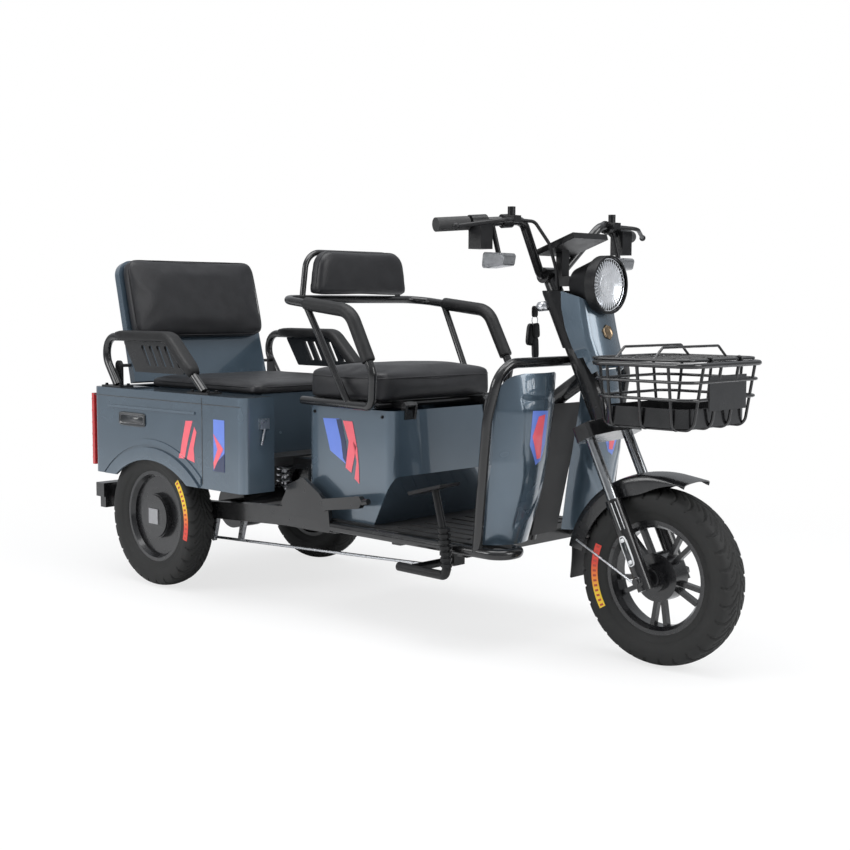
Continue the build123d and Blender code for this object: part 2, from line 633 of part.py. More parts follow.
# ---- controls ------------------------------------------------------------------------------
def brake_pedal():
    """Foot pedal on the right with its ribbed boot and the cross arm under the floor."""
    y = -283.0
    plate = polygon([(1030, 372), (1130, 400), (1134, 408), (1026, 380)])
    shape = side_prism(plate, y - 34, y + 34)
    shape += rod((1085, y, 388), (1112, y, 292), 9)
    for index in range(7):
        shape += Pos(1114 + index * 1.5, y, 296 - index * 14) * Cylinder(15.5 - index * 0.3, 8)
    shape += rod((1112, y, 300), (1124, y, 200), 11)
    shape += pipe([(1124, y, 206), (1118, y, 186), (960, y + 4, 186)], (12,), 11)
    shape += rod((1000, y, 186), (1000, -RAIL_Y, 186), 10)
    inner, outer = -RAIL_Y + RAIL_WIDTH / 2, -RAIL_Y - RAIL_WIDTH / 2
    shape += block(985, 1015, outer, inner, 174, RAIL_TOP - RAIL_HEIGHT)
    return shape


def parking_brake():
    """Hand brake: a hump-shaped bracket beside the seat box and a ribbed lever."""
    y0, y1 = -256.0, -SIDE_TUBE_Y + 6
    hump = polygon([(486, 290), (520, 344), (576, 366), (640, 330), (676, 296), (684, 230), (652, 230), (640, 262), (500, 262)], 8)
    shape = side_prism(hump, y0, y1)
    shape += rod((664, -264, 300), (664, y1, 300), 14)
    lever = polygon([(656, 288), (800, 308), (812, 326), (800, 340), (656, 318)], 6)
    shape += side_prism(lever, -264, -248)
    shape += rod((806, -256, 324), (828, -256, 328), 8)
    return shape


def brake_linkage(pedal):
    """Brake rod under the floor with its two levers on the trailing arm."""
    y0, y1 = -ARM_INNER, -ARM_INNER + 12
    middle = (y0 + y1) / 2
    shape = side_prism(polygon([(120, 140), (134, 134), (160, 226), (140, 226)], 3), y0, y1)
    shape += side_prism(polygon([(248, 158), (262, 152), (288, 240), (268, 240)], 3), y0, y1)
    shape += rod((127, middle, 146), (1000, middle, 186), 4)
    return largest(shape - pedal)


def side_latches():
    """Toggle latches on the front faces of the rear body's sides."""
    shape = block(BODY_FRONT, BODY_FRONT + 8, -300, -270, 488, 516)
    shape += rod((BODY_FRONT + 6, -285, 490), (BODY_FRONT + 6, -296, 446), 3)
    return pair(shape)


# ---- steering group ------------------------------------------------------------------------
def fork():
    """Telescopic fork: steerer, lower clamp, stanchions, lower legs and the front axle."""
    frame_at = steering_frame(CLAMP_LOW)
    clamp_plan = polygon([(-34, -40), (-24, -100), (26, -100), (44, -34), (44, 34), (26, 100), (-24, 100), (-34, 40)], 10)
    shape = extrude(frame_at * clamp_plan, amount=CLAMP_HIGH - CLAMP_LOW)
    shape += rod(on_axis(CLAMP_LOW), on_axis(BAR_CLAMP - 20), STEERER_R)
    for side in (-1, 1):
        y = side * FORK_HALF
        shape += rod(on_axis(FORK_LEG_TOP - 20, y), on_axis(CLAMP_HIGH, y), STANCHION_R)
        shape += rod(on_axis(-22, y), on_axis(FORK_LEG_TOP, y), FORK_LEG_R)
        shape += rod(on_axis(LUG_ALONG, y), on_axis(LUG_ALONG, side * FENDER_HALF), 9)
    shape += rod((WHEELBASE, -FORK_HALF - 30, WHEEL_RADIUS), (WHEELBASE, FORK_HALF + 30, WHEEL_RADIUS), FRONT_AXLE_R)
    return shape


def fender_band(inner, outer, low_angle, high_angle):
    """Side view of a curved band round the front wheel between two angles from +X."""
    points = []
    steps = 16
    for index in range(steps + 1):
        angle = radians(low_angle + (high_angle - low_angle) * index / steps)
        points.append((cos(angle), sin(angle)))
    arc_out = [(WHEELBASE + outer * c, WHEEL_RADIUS + outer * s) for c, s in points]
    arc_in = [(WHEELBASE + inner * c, WHEEL_RADIUS + inner * s) for c, s in reversed(points)]
    return polygon(arc_out + arc_in)


def front_fender():
    """Front mudguard with side skirts and a mudflap, held between the fork legs."""
    gap = RUN_GAP
    inner = WHEEL_RADIUS + gap + 4
    crown = side_prism(fender_band(inner, inner + 3, 70, 168), -FENDER_HALF, FENDER_HALF)
    for side in (-1, 1):
        y0, y1 = sorted((side * (FENDER_HALF - 3), side * FENDER_HALF))
        crown += side_prism(fender_band(inner - 24, inner + 3, 74, 168), y0, y1)
    return crown


def fender_stay():
    """Steel rod stays from the fork legs to the mudguard's rear edge."""
    start = (WHEELBASE - FRONT_AXLE_R - 2.5, -FORK_HALF - FORK_LEG_R - 6, WHEEL_RADIUS - 2)
    return pair(rod(start, (WHEELBASE - 203, -FENDER_HALF - 2.5, WHEEL_RADIUS + 66), 2.5))


def cowl_body(wall):
    """Solid of the cowl from the bottom tip to the lamp, inset by a wall thickness."""
    faces = []
    for along, rear, edge, nose, half in COWL_SECTIONS:
        half -= wall
        back = rear if wall == 0 else rear - 30
        front = ThreePointArc((edge - wall, half), (nose - wall, 0), (edge - wall, -half))
        sides = Polyline((edge - wall, -half), (back, -half), (back, half), (edge - wall, half))
        faces.append(steering_frame(along) * make_face([front] + list(sides.edges())))
    return loft(faces)


def head_cowl(lamp_space, bar):
    """Painted cowl in front of the head tube, open at the back; it turns with the fork."""
    body = cowl_body(0) - cowl_body(SKIN)
    roof = cowl_body(0) & extrude(steering_frame(COWL_ROOF) * Rectangle(400, 400), amount=SKIN)
    body += roof
    top = polygon([(1100, COWL_TOP), (1281, COWL_TOP), (1335, 842), (1395, 806), (1500, 800), (1500, 1100), (1100, 1100)])
    body -= side_prism(top, -100, 100)
    return body - lamp_space - bar


def largest(shape):
    """The largest solid of a shape that a cut has split."""
    return max(shape.solids(), key=lambda solid: solid.volume)


def lock_cover():
    """Black cover behind the head tube with the ignition lock, closed on top round the stem."""
    plan = polygon([(52, 60), (-16, 55), (-39, 26), (-39, -26), (-16, -55), (52, -60)])
    cave = polygon([(60, 57), (-14, 52), (-36, 24), (-36, -24), (-14, -52), (60, -57)])
    axes = steering_frame(COVER_LOW)
    tall = COVER_HIGH - COVER_LOW
    body = extrude(axes * plan, amount=tall) - block(1100, 1500, -100, 100, COVER_TOP, 1100)
    body -= extrude(steering_frame(COVER_LOW - 6) * cave, amount=tall) - block(1100, 1500, -100, 100, COVER_TOP - SKIN, 1100)
    lock = on_axis(COVER_LOW + 70, LOCK_Y, -30)
    body += rod(lock, (lock[0] - 34, LOCK_Y, lock[2] - 4), 12)
    body -= rod(on_axis(HEAD_LOW), on_axis(BAR_CLAMP), STEM_R)
    return largest(body - cowl_body(0))


def key_set(cover):
    """Key in the ignition lock with two fobs that hang from it."""
    x, y, z = on_axis(COVER_LOW + 70, LOCK_Y, -30)
    x -= 42
    shape = rod((x - 2, y, z - 4), (x + 14, y, z - 4), 4)
    shape += Pos(x - 2, y, z - 20) * Box(3, 18, 38)
    shape += Pos(x - 2, y - 2, z - 62) * Box(9, 26, 48)
    shape += Pos(x - 2, y + 2, z - 104) * Box(9, 20, 40)
    return shape - cover


def handlebar():
    """Handlebar bent from one tube in its stem clamp."""
    clamp = on_axis(BAR_CLAMP)
    left = [(clamp[0], 36, clamp[2]), (1234, 150, 1019), BAR_END]
    path = [(x, -y, z) for x, y, z in reversed(left)] + left
    shape = pipe(path, (40, 30, 30, 40), BAR_R)
    shape += rod(on_axis(HEAD_HIGH + 6), on_axis(BAR_CLAMP - 4), STEM_R)
    shape += rod((clamp[0], -28, clamp[2]), (clamp[0], 28, clamp[2]), 19)
    return shape - rod(on_axis(CLAMP_HIGH), on_axis(BAR_CLAMP - 20), STEERER_R)


def bar_point(share):
    """A point on the right outer run of the handlebar, from the bend (0) to the end (1)."""
    start, end = Vector(1234, -150, 1019), Vector(BAR_END[0], -BAR_END[1], BAR_END[2])
    return start + (end - start) * share


def bar_plane(share):
    """Local axes on the right outer run, Z along the tube towards its end."""
    way = bar_point(1) - bar_point(0)
    return Plane(origin=bar_point(share), x_dir=(0, 0, 1), z_dir=way)


def grips(bar):
    """Rubber grips over the ends of the handlebar."""
    reach = (bar_point(1) - bar_point(GRIP_START)).length
    grip = extrude(bar_plane(GRIP_START) * Circle(GRIP_R), amount=reach + 6)
    return pair(grip - bar)


def hand_controls(bar):
    """Brake lever perches with their levers, the switch boxes and the mirror bosses."""
    shape = extrude(bar_plane(0.45) * Circle(18), amount=42)
    box = bar_point(0.555)
    shape += block(box.X - 6, box.X + 32, box.Y - 20, box.Y + 20, box.Z - 60, box.Z)
    shape += extrude(bar_plane(0.14) * Circle(16), amount=26)
    perch = bar_point(0.2)
    shape += block(perch.X + 3, perch.X + 34, perch.Y - 13, perch.Y + 13, perch.Z - 4, perch.Z + 12)
    boss = Vector(perch.X + 16, perch.Y, perch.Z + 32)
    shape += rod((boss.X, boss.Y, perch.Z), boss, 9)
    end = bar_point(0.96)
    lever = [(perch.X + 26, perch.Y - 4, perch.Z + 2), (perch.X + 52, perch.Y - 60, perch.Z - 2), (end.X + 44, end.Y, end.Z - 6)]
    shape += pipe(lever, (40,), 5)
    shape += Pos(*lever[-1]) * Sphere(8)
    shape -= rod((boss.X, boss.Y, boss.Z - MIRROR_DEPTH), boss, MIRROR_R)
    return pair(shape - bar)


def display(bar):
    """Instrument slab over the stem clamp, tilted towards the driver, on its bracket."""
    slab = Pos(1262, 0, 966) * Rot(0, -19, 0) * Box(118, 132, 14)
    neck = block(1226, 1244, -14, 14, 892, 962)
    return slab + neck - bar


def lamp_turned(profile):
    """Turns a half profile round the lamp's axis; x is measured from the lamp's front."""
    plane = Plane(origin=(LAMP_FRONT, 0, LAMP_Z), x_dir=(1, 0, 0), z_dir=(0, -1, 0))
    return revolve(plane * polygon(profile), axis=Axis((0, 0, LAMP_Z), (1, 0, 0)))


def lamp_space():
    """Room that the lamp takes up in the cowl."""
    back = -LAMP_DEPTH
    return lamp_turned([(back - 1, 0), (back - 1, 42), (-31, LAMP_R - 3), (-27, LAMP_R + 1), (9, LAMP_R + 1), (9, 0)])


def headlamp(bar):
    """Round lamp with a bowl-shaped back, its bezel and the bracket from the stem."""
    back = -LAMP_DEPTH
    rim = LAMP_R - 5
    bowl = lamp_turned([(back, 0), (back, 40), (-30, rim), (-26, LAMP_R), (0, LAMP_R), (0, rim), (-6, rim), (-24, 0)])
    arm = block(1210, LAMP_FRONT + back + 10, -12, 12, 868, 892) - bar
    return bowl + (arm - rod(on_axis(HEAD_HIGH + 6), on_axis(BAR_CLAMP), STEM_R))


def headlamp_lens():
    """Clear front lens with its reflector pattern behind it."""
    return lamp_turned([(-5, 0), (-5, LAMP_R - 5.2), (-2, LAMP_R - 5.2), (3, 0)])


def turn_signals(bar):
    """Clear turn signals on short stalks under the handlebar."""
    top = bar_point(0.375)
    x, y = 1232.0, top.Y
    shape = rod(top, (x, y, 938), 6) - bar
    body = polygon([(x - 34, 906), (x + 30, 912), (x + 36, 940), (x - 30, 944)], 8)
    shape += side_prism(body, y - 20, y + 20)
    return pair(shape)


def handlebar_cables():
    """Brake cable from the right perch down into the top of the lock cover."""
    points = [(1244, -179.3, 1018), (1252, -128, 1016), (1264, -88, 966), (1258, -54, 908), (1250, -36, COVER_TOP + 1.6)]
    return pipe(points, (24, 40, 40), 4)


def basket_loop(z, grow, radius=WIRE_R):
    """One level wire loop of the basket."""
    x0, x1, half = BASKET_REAR - grow, BASKET_FRONT + grow, BASKET_HALF + grow
    path = FilletPolyline((x0, -half, z), (x1, -half, z), (x1, half, z), (x0, half, z), radius=38, close=True)
    start = path @ 0
    return sweep(Plane(origin=start, z_dir=path % 0) * Circle(radius), path=path)


def basket(fork_solid):
    """Wire basket: rim and side loops, bent wires under it, a bottom tray and a bare front plate."""
    shape = basket_loop(BASKET_TOP, 0, 6)
    for z, grow in ((BASKET_TOP - 36, -4), (BASKET_TOP - 74, -8)):
        shape += basket_loop(z, grow)
    for y in (-105, -35, 35, 105):
        path = [(BASKET_REAR, y, BASKET_TOP), (BASKET_REAR + 16, y, BASKET_BOTTOM),
                (BASKET_FRONT - 24, y, BASKET_BOTTOM), (BASKET_FRONT, y, BASKET_TOP)]
        shape += pipe(path, (20, 24), WIRE_R)
    for x in (1480, 1560, 1640):
        path = [(x, -BASKET_HALF, BASKET_TOP), (x, -BASKET_HALF + 20, BASKET_BOTTOM),
                (x, BASKET_HALF - 20, BASKET_BOTTOM), (x, BASKET_HALF, BASKET_TOP)]
        shape += pipe(path, (20, 20), WIRE_R)
    pan_plan = Pos((BASKET_REAR + BASKET_FRONT) / 2 - 4, 0) * RectangleRounded(224, 256, 34)
    pan = plan_prism(pan_plan, BASKET_BOTTOM + 4, BASKET_BOTTOM + 46)
    inner = Pos((BASKET_REAR + BASKET_FRONT) / 2 - 4, 0) * RectangleRounded(220, 252, 32)
    pan -= plan_prism(inner, BASKET_BOTTOM + 6, BASKET_BOTTOM + 47)
    shape += pan
    shape += block(BASKET_FRONT - 6, BASKET_FRONT - 3, -75, 75, 598, 674)
    shape += block(1396, 1500, -44, 44, BASKET_BOTTOM - 5, BASKET_BOTTOM - 1)
    hinge_z = BASKET_TOP + LID_RISE
    ring_r = WIRE_R + SHAFT_GAP + 2.5
    for y in (-60, 60):
        shape += Pos(LID_HINGE_X, y, hinge_z) * Rot(90, 0, 0) * Torus(ring_r, 2.5)
        shape += rod((LID_HINGE_X + ring_r, y, hinge_z - 2), (BASKET_FRONT, y, BASKET_TOP), 2.5)
    return largest(shape - fork_solid)


def basket_lid():
    """Wire lid of the basket, hinged at the front rim, with two raised hoops."""
    z = BASKET_TOP + LID_RISE
    x0, x1, half = BASKET_REAR - 4, LID_HINGE_X, BASKET_HALF - 4
    path = FilletPolyline((x0, -half, z), (x1, -half, z), (x1, half, z), (x0, half, z), radius=34, close=True)
    shape = sweep(Plane(origin=path @ 0, z_dir=path % 0) * Circle(WIRE_R), path=path)
    for y in (-90, -30, 30, 90):
        shape += rod((x0, y, z), (x1, y, z), 2.5)
    for x in (1500, 1600):
        hoop = [(x, -half - 1, z), (x, -half + 34, z + 26), (x, half - 34, z + 26), (x, half + 1, z)]
        shape += pipe(hoop, (12, 12), 3)
    return largest(shape)


# ---- driver's seat -------------------------------------------------------------------------
def driver_seat_frame():
    """Tubular seat frame: one bent tube for base and armrests, headrest hoop, pan and hinge tabs."""
    z = SEAT_TUBE_Z
    right = [(534, -BOX_HALF - 2, z), (838, -ARM_Y + 8, z), (850, -ARM_Y, 655), (768, -ARM_Y, 806), (HEADREST_X, -ARM_Y, 836)]
    left = [(x, -y, zz) for x, y, zz in reversed(right)]
    shape = pipe(right + left, (24, 50, 62, 60, 60, 62, 50, 24), SEAT_TUBE_R)
    for side in (-1, 1):
        shape += rod((598, side * ARM_Y, 823), (738, side * (ARM_Y - 22), z), 9)
    hoop = [(HEADREST_X, -182, 836), (HEADREST_X - 4, -162, HEADREST_HIGH), (HEADREST_X - 4, 162, HEADREST_HIGH),
            (HEADREST_X, 182, 836)]
    shape += pipe(hoop, (52, 52), 8)
    for x, half in ((562, 221), (690, 237), (812, 250)):
        shape += rod((x, -half, z), (x, half, z), 8)
    pan_half = CUSHION_HALF - 12
    shape += block(CUSHION_REAR, CUSHION_FRONT - 10, -pan_half, pan_half, z + 7, z + 7 + SEAT_PAN)
    for side in (-1, 1):
        y = side * HINGE_Y
        tab = polygon([(800, z - 8), (800, z + 8), (HINGE_X, HINGE_Z + 9), (HINGE_X + 9, HINGE_Z), (HINGE_X, HINGE_Z - 9)])
        shape += side_prism(tab, y - HINGE_HALF, y + HINGE_HALF)
        shape -= rod((HINGE_X, y - 20, HINGE_Z), (HINGE_X, y + 20, HINGE_Z), HINGE_R + SHAFT_GAP)
    return shape


def driver_seat_cushion():
    """Thick seat cushion with rounded corners."""
    low = SEAT_TUBE_Z + 7 + SEAT_PAN + SEAT_GAP
    plan = Pos((CUSHION_REAR + CUSHION_FRONT) / 2, 0) * RectangleRounded(
        CUSHION_FRONT - CUSHION_REAR, 2 * CUSHION_HALF, 36)
    return plan_prism(plan, low, low + CUSHION_THICK)


def driver_arm_pads(seat_frame):
    """Soft pads round the bend of the driver's armrests."""
    start, corner, end = (600, -ARM_Y, 824.3), (768, -ARM_Y, 806), (836, -ARM_Y, 681)
    outer = pipe([start, corner, end], (62,), SEAT_TUBE_R + 7)
    core = pipe([(580, -ARM_Y, 826.4), corner, (841, -ARM_Y, 672)], (62,), SEAT_TUBE_R + SEAT_GAP)
    return pair(largest(outer - core - seat_frame))


def headrest_cushion():
    """Padded headrest in front of its hoop."""
    outline = polygon([(-178, HEADREST_LOW), (178, HEADREST_LOW), (160, HEADREST_HIGH - 2), (-160, HEADREST_HIGH - 2)])
    outline = fillet(outline.vertices().filter_by(lambda v: v.Y > HEADREST_LOW + 10), 46)
    x0 = HEADREST_X + 8 + SEAT_GAP
    return front_prism(outline, x0, x0 + 46)


def write(node, shape):
    """Shifts one part to the shared origin and writes its file."""
    solids = shape if isinstance(shape, list) else [shape]
    bodies = []
    for item in solids:
        bodies += list(item.solids())
    moved = [Pos(-MIDDLE_X, 0, 0) * body for body in bodies]
    export_step(moved[0] if len(moved) == 1 else Compound(children=moved), f"parts/{node}.step")


def main():
    os.makedirs("parts", exist_ok=True)
    chassis = frame()
    pedal = brake_pedal()
    bar = handlebar()
    front_fork = fork()
    cover = lock_cover()
    seat_frame = driver_seat_frame()
    front = Pos(WHEELBASE, 0, WHEEL_RADIUS)
    right = Pos(0, -TRACK / 2, WHEEL_RADIUS)
    parts = {
        "frame": chassis,
        "leg_guard": leg_guard(chassis),
        "footboard": footboard(chassis),
        "leg_shields": pair(leg_shield()),
        "leg_shield_center": leg_shield_center(),
        "seat_box": seat_box(),
        "battery_pack": battery_pack(),
        "side_panel_right": side_panel(),
        "side_panel_left": mirror(side_panel(), about=Plane.XZ),
        "cargo_floor": cargo_floor(),
        "rear_panel": rear_panel(),
        "tail_lamps": tail_lamps(),
        "rear_seat_base": rear_seat_base(),
        "rear_seat_cushion": rear_seat_cushion(),
        "backrest_shell": backrest_shell(),
        "back_cushion": back_cushion(),
        "rear_armrests": rear_armrests(),
        "rear_arm_pads": rear_arm_pads(),
        "rear_axle": rear_axle(),
        "rear_shocks": rear_shocks(),
        "brake_pedal": pedal,
        "parking_brake": parking_brake(),
        "brake_linkage": brake_linkage(pedal),
        "side_latches": side_latches(),
        "fork": front_fork,
        "front_fender": front_fender(),
        "fender_stay": fender_stay(),
        "head_cowl": head_cowl(lamp_space(), bar),
        "lock_cover": cover,
        "key_set": key_set(cover),
        "handlebar": bar,
        "grips": grips(bar),
        "hand_controls": hand_controls(bar),
        "display": display(bar),
        "headlamp": headlamp(bar),
        "headlamp_lens": headlamp_lens(),
        "turn_signals": turn_signals(bar),
        "handlebar_cables": handlebar_cables(),
        "basket": basket(front_fork),
        "basket_lid": basket_lid(),
        "driver_seat_frame": seat_frame,
        "driver_seat_cushion": driver_seat_cushion(),
        "driver_arm_pads": driver_arm_pads(seat_frame),
        "headrest_cushion": headrest_cushion(),
        "front_tyre": front * tyre(),
        "front_rim": front * front_rim(),
        "rear_tyre_right": right * tyre(),
        "rear_wheel_right": right * rear_wheel(),
        "rear_tyre_left": mirror(right * tyre(), about=Plane.XZ),
        "rear_wheel_left": mirror(right * rear_wheel(), about=Plane.XZ),
    }
    for node, shape in parts.items():
        write(node, shape)


main()
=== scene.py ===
import json
from math import copysign, cos, hypot, pi, radians, sin, sqrt, tan
import bpy
from mathutils import Matrix, Vector
from mathutils.bvhtree import BVHTree


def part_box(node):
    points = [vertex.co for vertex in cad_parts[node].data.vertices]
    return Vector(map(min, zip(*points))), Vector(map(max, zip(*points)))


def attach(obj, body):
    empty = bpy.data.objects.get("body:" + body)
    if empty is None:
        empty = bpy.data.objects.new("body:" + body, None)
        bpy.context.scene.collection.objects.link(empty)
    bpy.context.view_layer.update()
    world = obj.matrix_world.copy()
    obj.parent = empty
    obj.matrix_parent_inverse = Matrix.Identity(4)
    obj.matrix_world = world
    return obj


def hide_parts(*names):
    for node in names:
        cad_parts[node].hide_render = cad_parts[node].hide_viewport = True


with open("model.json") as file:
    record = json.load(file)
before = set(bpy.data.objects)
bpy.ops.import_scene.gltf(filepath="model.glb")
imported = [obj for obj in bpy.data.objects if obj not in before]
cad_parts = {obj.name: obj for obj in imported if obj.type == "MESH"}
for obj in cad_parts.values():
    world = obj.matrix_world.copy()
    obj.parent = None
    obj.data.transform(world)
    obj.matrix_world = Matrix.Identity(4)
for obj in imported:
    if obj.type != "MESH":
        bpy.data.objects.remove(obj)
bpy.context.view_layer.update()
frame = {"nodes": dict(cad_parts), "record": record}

# Electric tricycle: cushions, tyres, moulded skins, lamp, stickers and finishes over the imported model.
# The scene is in metres, +X forward, +Y to the vehicle's left, +Z up; tables and at() are in millimetres
# from the rear axle, the middle plane and the ground.

NODES = frame["nodes"]
MATERIALS = {}
SIDES = ((-1, "right"), (1, "left"))
MM = 0.001
WHITE = (1, 1, 1, 1)
# How far the steering axis and the rear backrest lean back from the upright.
RAKE, BACK_LEAN = radians(26.1), radians(14.6)
# How far the front axle is ahead of the rear one, how high both are, and how far aside a fork leg stands.
FRONT_X, HUB_Z, LEG_Y = 1534, 205, 74


def middle_of(node_name):
    """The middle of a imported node's box."""
    low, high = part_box(node_name)
    return (low + high) / 2


AXLE_X = middle_of("rear_tyre_right").x


def at(x, y, z):
    """A point given in millimetres from the rear axle, the middle plane and the ground."""
    return Vector((AXLE_X + x * MM, y * MM, z * MM))


def in_millimetres(spot):
    """The three numbers that at() turns into a point."""
    return (spot.x - AXLE_X) / MM, spot.y / MM, spot.z / MM


def steered(along, aside, ahead):
    """A point beside the steering axis: millimetres along it from the front axle, to the left and ahead."""
    return at(FRONT_X - along * sin(RAKE) + ahead * cos(RAKE), aside,
              HUB_Z + along * cos(RAKE) + ahead * sin(RAKE))


def circle(count, power=2):
    """Points in equal turns round a superellipse whose half axes are one; a power of 2 gives a circle."""
    points = []
    for index in range(count):
        c, s = cos(2 * pi * index / count), sin(2 * pi * index / count)
        scale = (abs(c) ** power + abs(s) ** power) ** (-1 / power)
        points.append((c * scale, s * scale))
    return points


def clamped(share):
    return min(1, max(0, share))


def eased(share):
    """A share held between 0 and 1 that starts and ends gently."""
    share = clamped(share)
    return share * share * (3 - 2 * share)


def between(rows, level):
    """The numbers of a table at a level between its rows; the first number of each row is its level."""
    for a, b in zip(rows, rows[1:]):
        if level <= b[0] or b is rows[-1]:
            share = clamped((level - a[0]) / (b[0] - a[0]))
            return [p + (q - p) * share for p, q in zip(a[1:], b[1:])]


# ---- shader nodes
def feed(tree, made, inputs):
    """Sets a node's inputs: each is given a constant, or the output that it is linked from."""
    for key, value in inputs.items():
        if isinstance(value, bpy.types.NodeSocket):
            tree.links.new(value, made.inputs[key])
        else:
            made.inputs[key].default_value = value


def node(tree, kind, inputs, **values):
    made = tree.nodes.new("ShaderNode" + kind)
    for name, value in values.items():
        setattr(made, name, value)
    feed(tree, made, inputs)
    return made


def mapped(tree, value, start, end, curve="LINEAR"):
    """The value with the range start spread onto the range end."""
    ranges = {"From Min": start[0], "From Max": start[1], "To Min": end[0], "To Max": end[1]}
    return node(tree, "MapRange", {"Value": value, **ranges}, interpolation_type=curve).outputs["Result"]


def calculated(tree, operation, *values):
    return node(tree, "Math", dict(enumerate(values)), operation=operation).outputs[0]


def mixed(tree, share, low, high):
    """A colour mixed from two, each a constant or a node's output."""
    inputs = {"Factor": share, "A": low, "B": high}
    return node(tree, "Mix", inputs, data_type="RGBA").outputs["Result"]


def new_material(name):
    """Makes a material, kept under its name; gives its node tree and its shader."""
    material = bpy.data.materials.new(name)
    material.use_nodes = True
    MATERIALS[name] = material
    return material.node_tree, material.node_tree.nodes["Principled BSDF"]


# ---- camera, floor and light
def linked(name, data):
    """A new object in the scene."""
    obj = bpy.data.objects.new(name, data)
    bpy.context.scene.collection.objects.link(obj)
    return obj


def look_from(place, right, up, lens):
    data = bpy.data.cameras.new("camera")
    data.sensor_width = 36
    data.lens = lens
    data.clip_end = 60
    camera = linked("camera", data)
    right, up = Vector(right).normalized(), Vector(up).normalized()
    turn = Matrix((right, up, right.cross(up))).transposed().to_4x4()
    camera.matrix_world = Matrix.Translation(place) @ turn
    bpy.context.scene.camera = camera


def softbox(name, place, target, size, power):
    data = bpy.data.lights.new(name, "AREA")
    data.shape = "RECTANGLE"
    data.size, data.size_y = size
    data.energy = power
    lamp = linked(name, data)
    lamp.location = place
    lamp.rotation_mode = "QUATERNION"
    lamp.rotation_quaternion = (Vector(target) - Vector(place)).to_track_quat("-Z", "Y")


def viewed(tree):
    """1 for rays seen straight from the camera or through glass, else 0."""
    path = node(tree, "LightPath", {})
    return calculated(tree, "MAXIMUM", path.outputs["Is Camera Ray"], path.outputs["Is Transmission Ray"])


def world_light():
    """Soft sky for the light, dim towards the horizon; the camera sees plain white."""
    world = bpy.data.worlds.new("studio_world")
    bpy.context.scene.world = world
    world.use_nodes = True
    tree = world.node_tree
    tree.nodes.clear()
    coords = node(tree, "TexCoord", {})
    apart = node(tree, "SeparateXYZ", {"Vector": coords.outputs["Generated"]})
    strength = mapped(tree, apart.outputs["Z"], (0, 0.9), (0.34, 0.8), "SMOOTHSTEP")
    sky = node(tree, "Background", {"Color": (0.93, 0.96, 1, 1), "Strength": strength})
    plain = node(tree, "Background", {"Color": WHITE, "Strength": 1.0})
    mix = node(tree, "MixShader", {"Fac": viewed(tree), 1: sky.outputs[0], 2: plain.outputs[0]})
    node(tree, "OutputWorld", {"Surface": mix.outputs[0]})


def studio_floor():
    """White floor that keeps the soft shadow near the vehicle and turns plain white farther off."""
    bpy.ops.mesh.primitive_plane_add(size=60, location=(0, 0, 0))
    floor = bpy.context.object
    floor.name = "studio_floor"
    tree, shader = new_material("studio_floor")
    feed(tree, shader, {"Base Color": (0.8, 0.8, 0.8, 1), "Roughness": 0.9})
    glow = node(tree, "Emission", {"Color": WHITE})
    coords = node(tree, "TexCoord", {})
    distance = node(tree, "VectorMath", {0: coords.outputs["Object"]}, operation="LENGTH")
    share = mapped(tree, distance.outputs["Value"], (0.9, 2.6), (0.74, 1), "SMOOTHSTEP")
    seen = calculated(tree, "MULTIPLY", viewed(tree), share)
    mix = node(tree, "MixShader", {"Fac": seen, 1: shader.outputs[0], 2: glow.outputs[0]})
    feed(tree, tree.nodes["Material Output"], {"Surface": mix.outputs[0]})
    paint(floor.data, "studio_floor")


def studio():
    world_light()
    studio_floor()
    softbox("top_light", (0.3, -0.4, 3.4), (0, 0, 0.4), (3.2, 2.2), 95)
    softbox("side_light", (-1.6, -3.6, 2), (-0.1, 0, 0.5), (2, 1.6), 60)
    softbox("front_light", (3.6, 0.6, 2), (0.2, 0, 0.5), (1.8, 1.8), 55)
    look_from(at(3236, -2546.9, 831.1), (0.7192814, 0.69470882, 0.00373085),
              (-0.06687327, 0.06389129, 0.99571375), 56.45)
    bpy.context.scene.view_settings.view_transform = "Standard"


# ---- materials
def coordinates(tree):
    coords = tree.nodes.get("coords") or node(tree, "TexCoord", {}, name="coords")
    return coords.outputs["Object"]


def noise(tree, scale, detail):
    inputs = {"Scale": scale, "Detail": detail, "Roughness": 0.55, "Vector": coordinates(tree)}
    return node(tree, "TexNoise", inputs).outputs["Fac"]


def cells(tree, scale):
    """Distance from the edges of small cells, for a leather or moulded grain."""
    inputs = {"Scale": scale, "Vector": coordinates(tree)}
    return node(tree, "TexVoronoi", inputs, feature="DISTANCE_TO_EDGE").outputs["Distance"]


def spread(tree, value, low, high):
    """A noise spread to run from low to high."""
    return mapped(tree, value, (0.3, 0.7), (low, high))


def finish(name, low, high, rough, grain=(60, 2), bump=None, metallic=0, coat=0, coat_rough=0.05,
           sheen=0, edge=None, specular=0.5):
    """A material whose colour and roughness vary with a noise of that grain (scale, detail).

    bump is (kind, scale, height) and edge is a lighter colour for sharp outer corners, a painted edge
    highlight.
    """
    tree, shader = new_material(name)
    value = noise(tree, *grain)
    colour = mixed(tree, spread(tree, value, 0, 1), (*low, 1), (*high, 1))
    if edge:
        # sharp corners, found by pointiness, get the lighter edge colour: a painted edge highlight
        shape = node(tree, "NewGeometry", {})
        painted_edge_highlight = mapped(tree, shape.outputs["Pointiness"], (0.56, 0.66), (0, 0.5))
        colour = mixed(tree, painted_edge_highlight, colour, (*edge, 1))
    feed(tree, shader, {"Base Color": colour, "Roughness": spread(tree, value, *rough), "Metallic": metallic,
                        "Coat Weight": coat, "Coat Roughness": coat_rough, "Sheen Weight": sheen,
                        "Specular IOR Level": specular})
    if bump:
        kind, scale, height = bump
        source = noise(tree, scale, 3) if kind == "noise" else cells(tree, scale)
        relief = node(tree, "Bump", {"Strength": 1, "Distance": height, "Height": source})
        feed(tree, shader, {"Normal": relief.outputs["Normal"]})


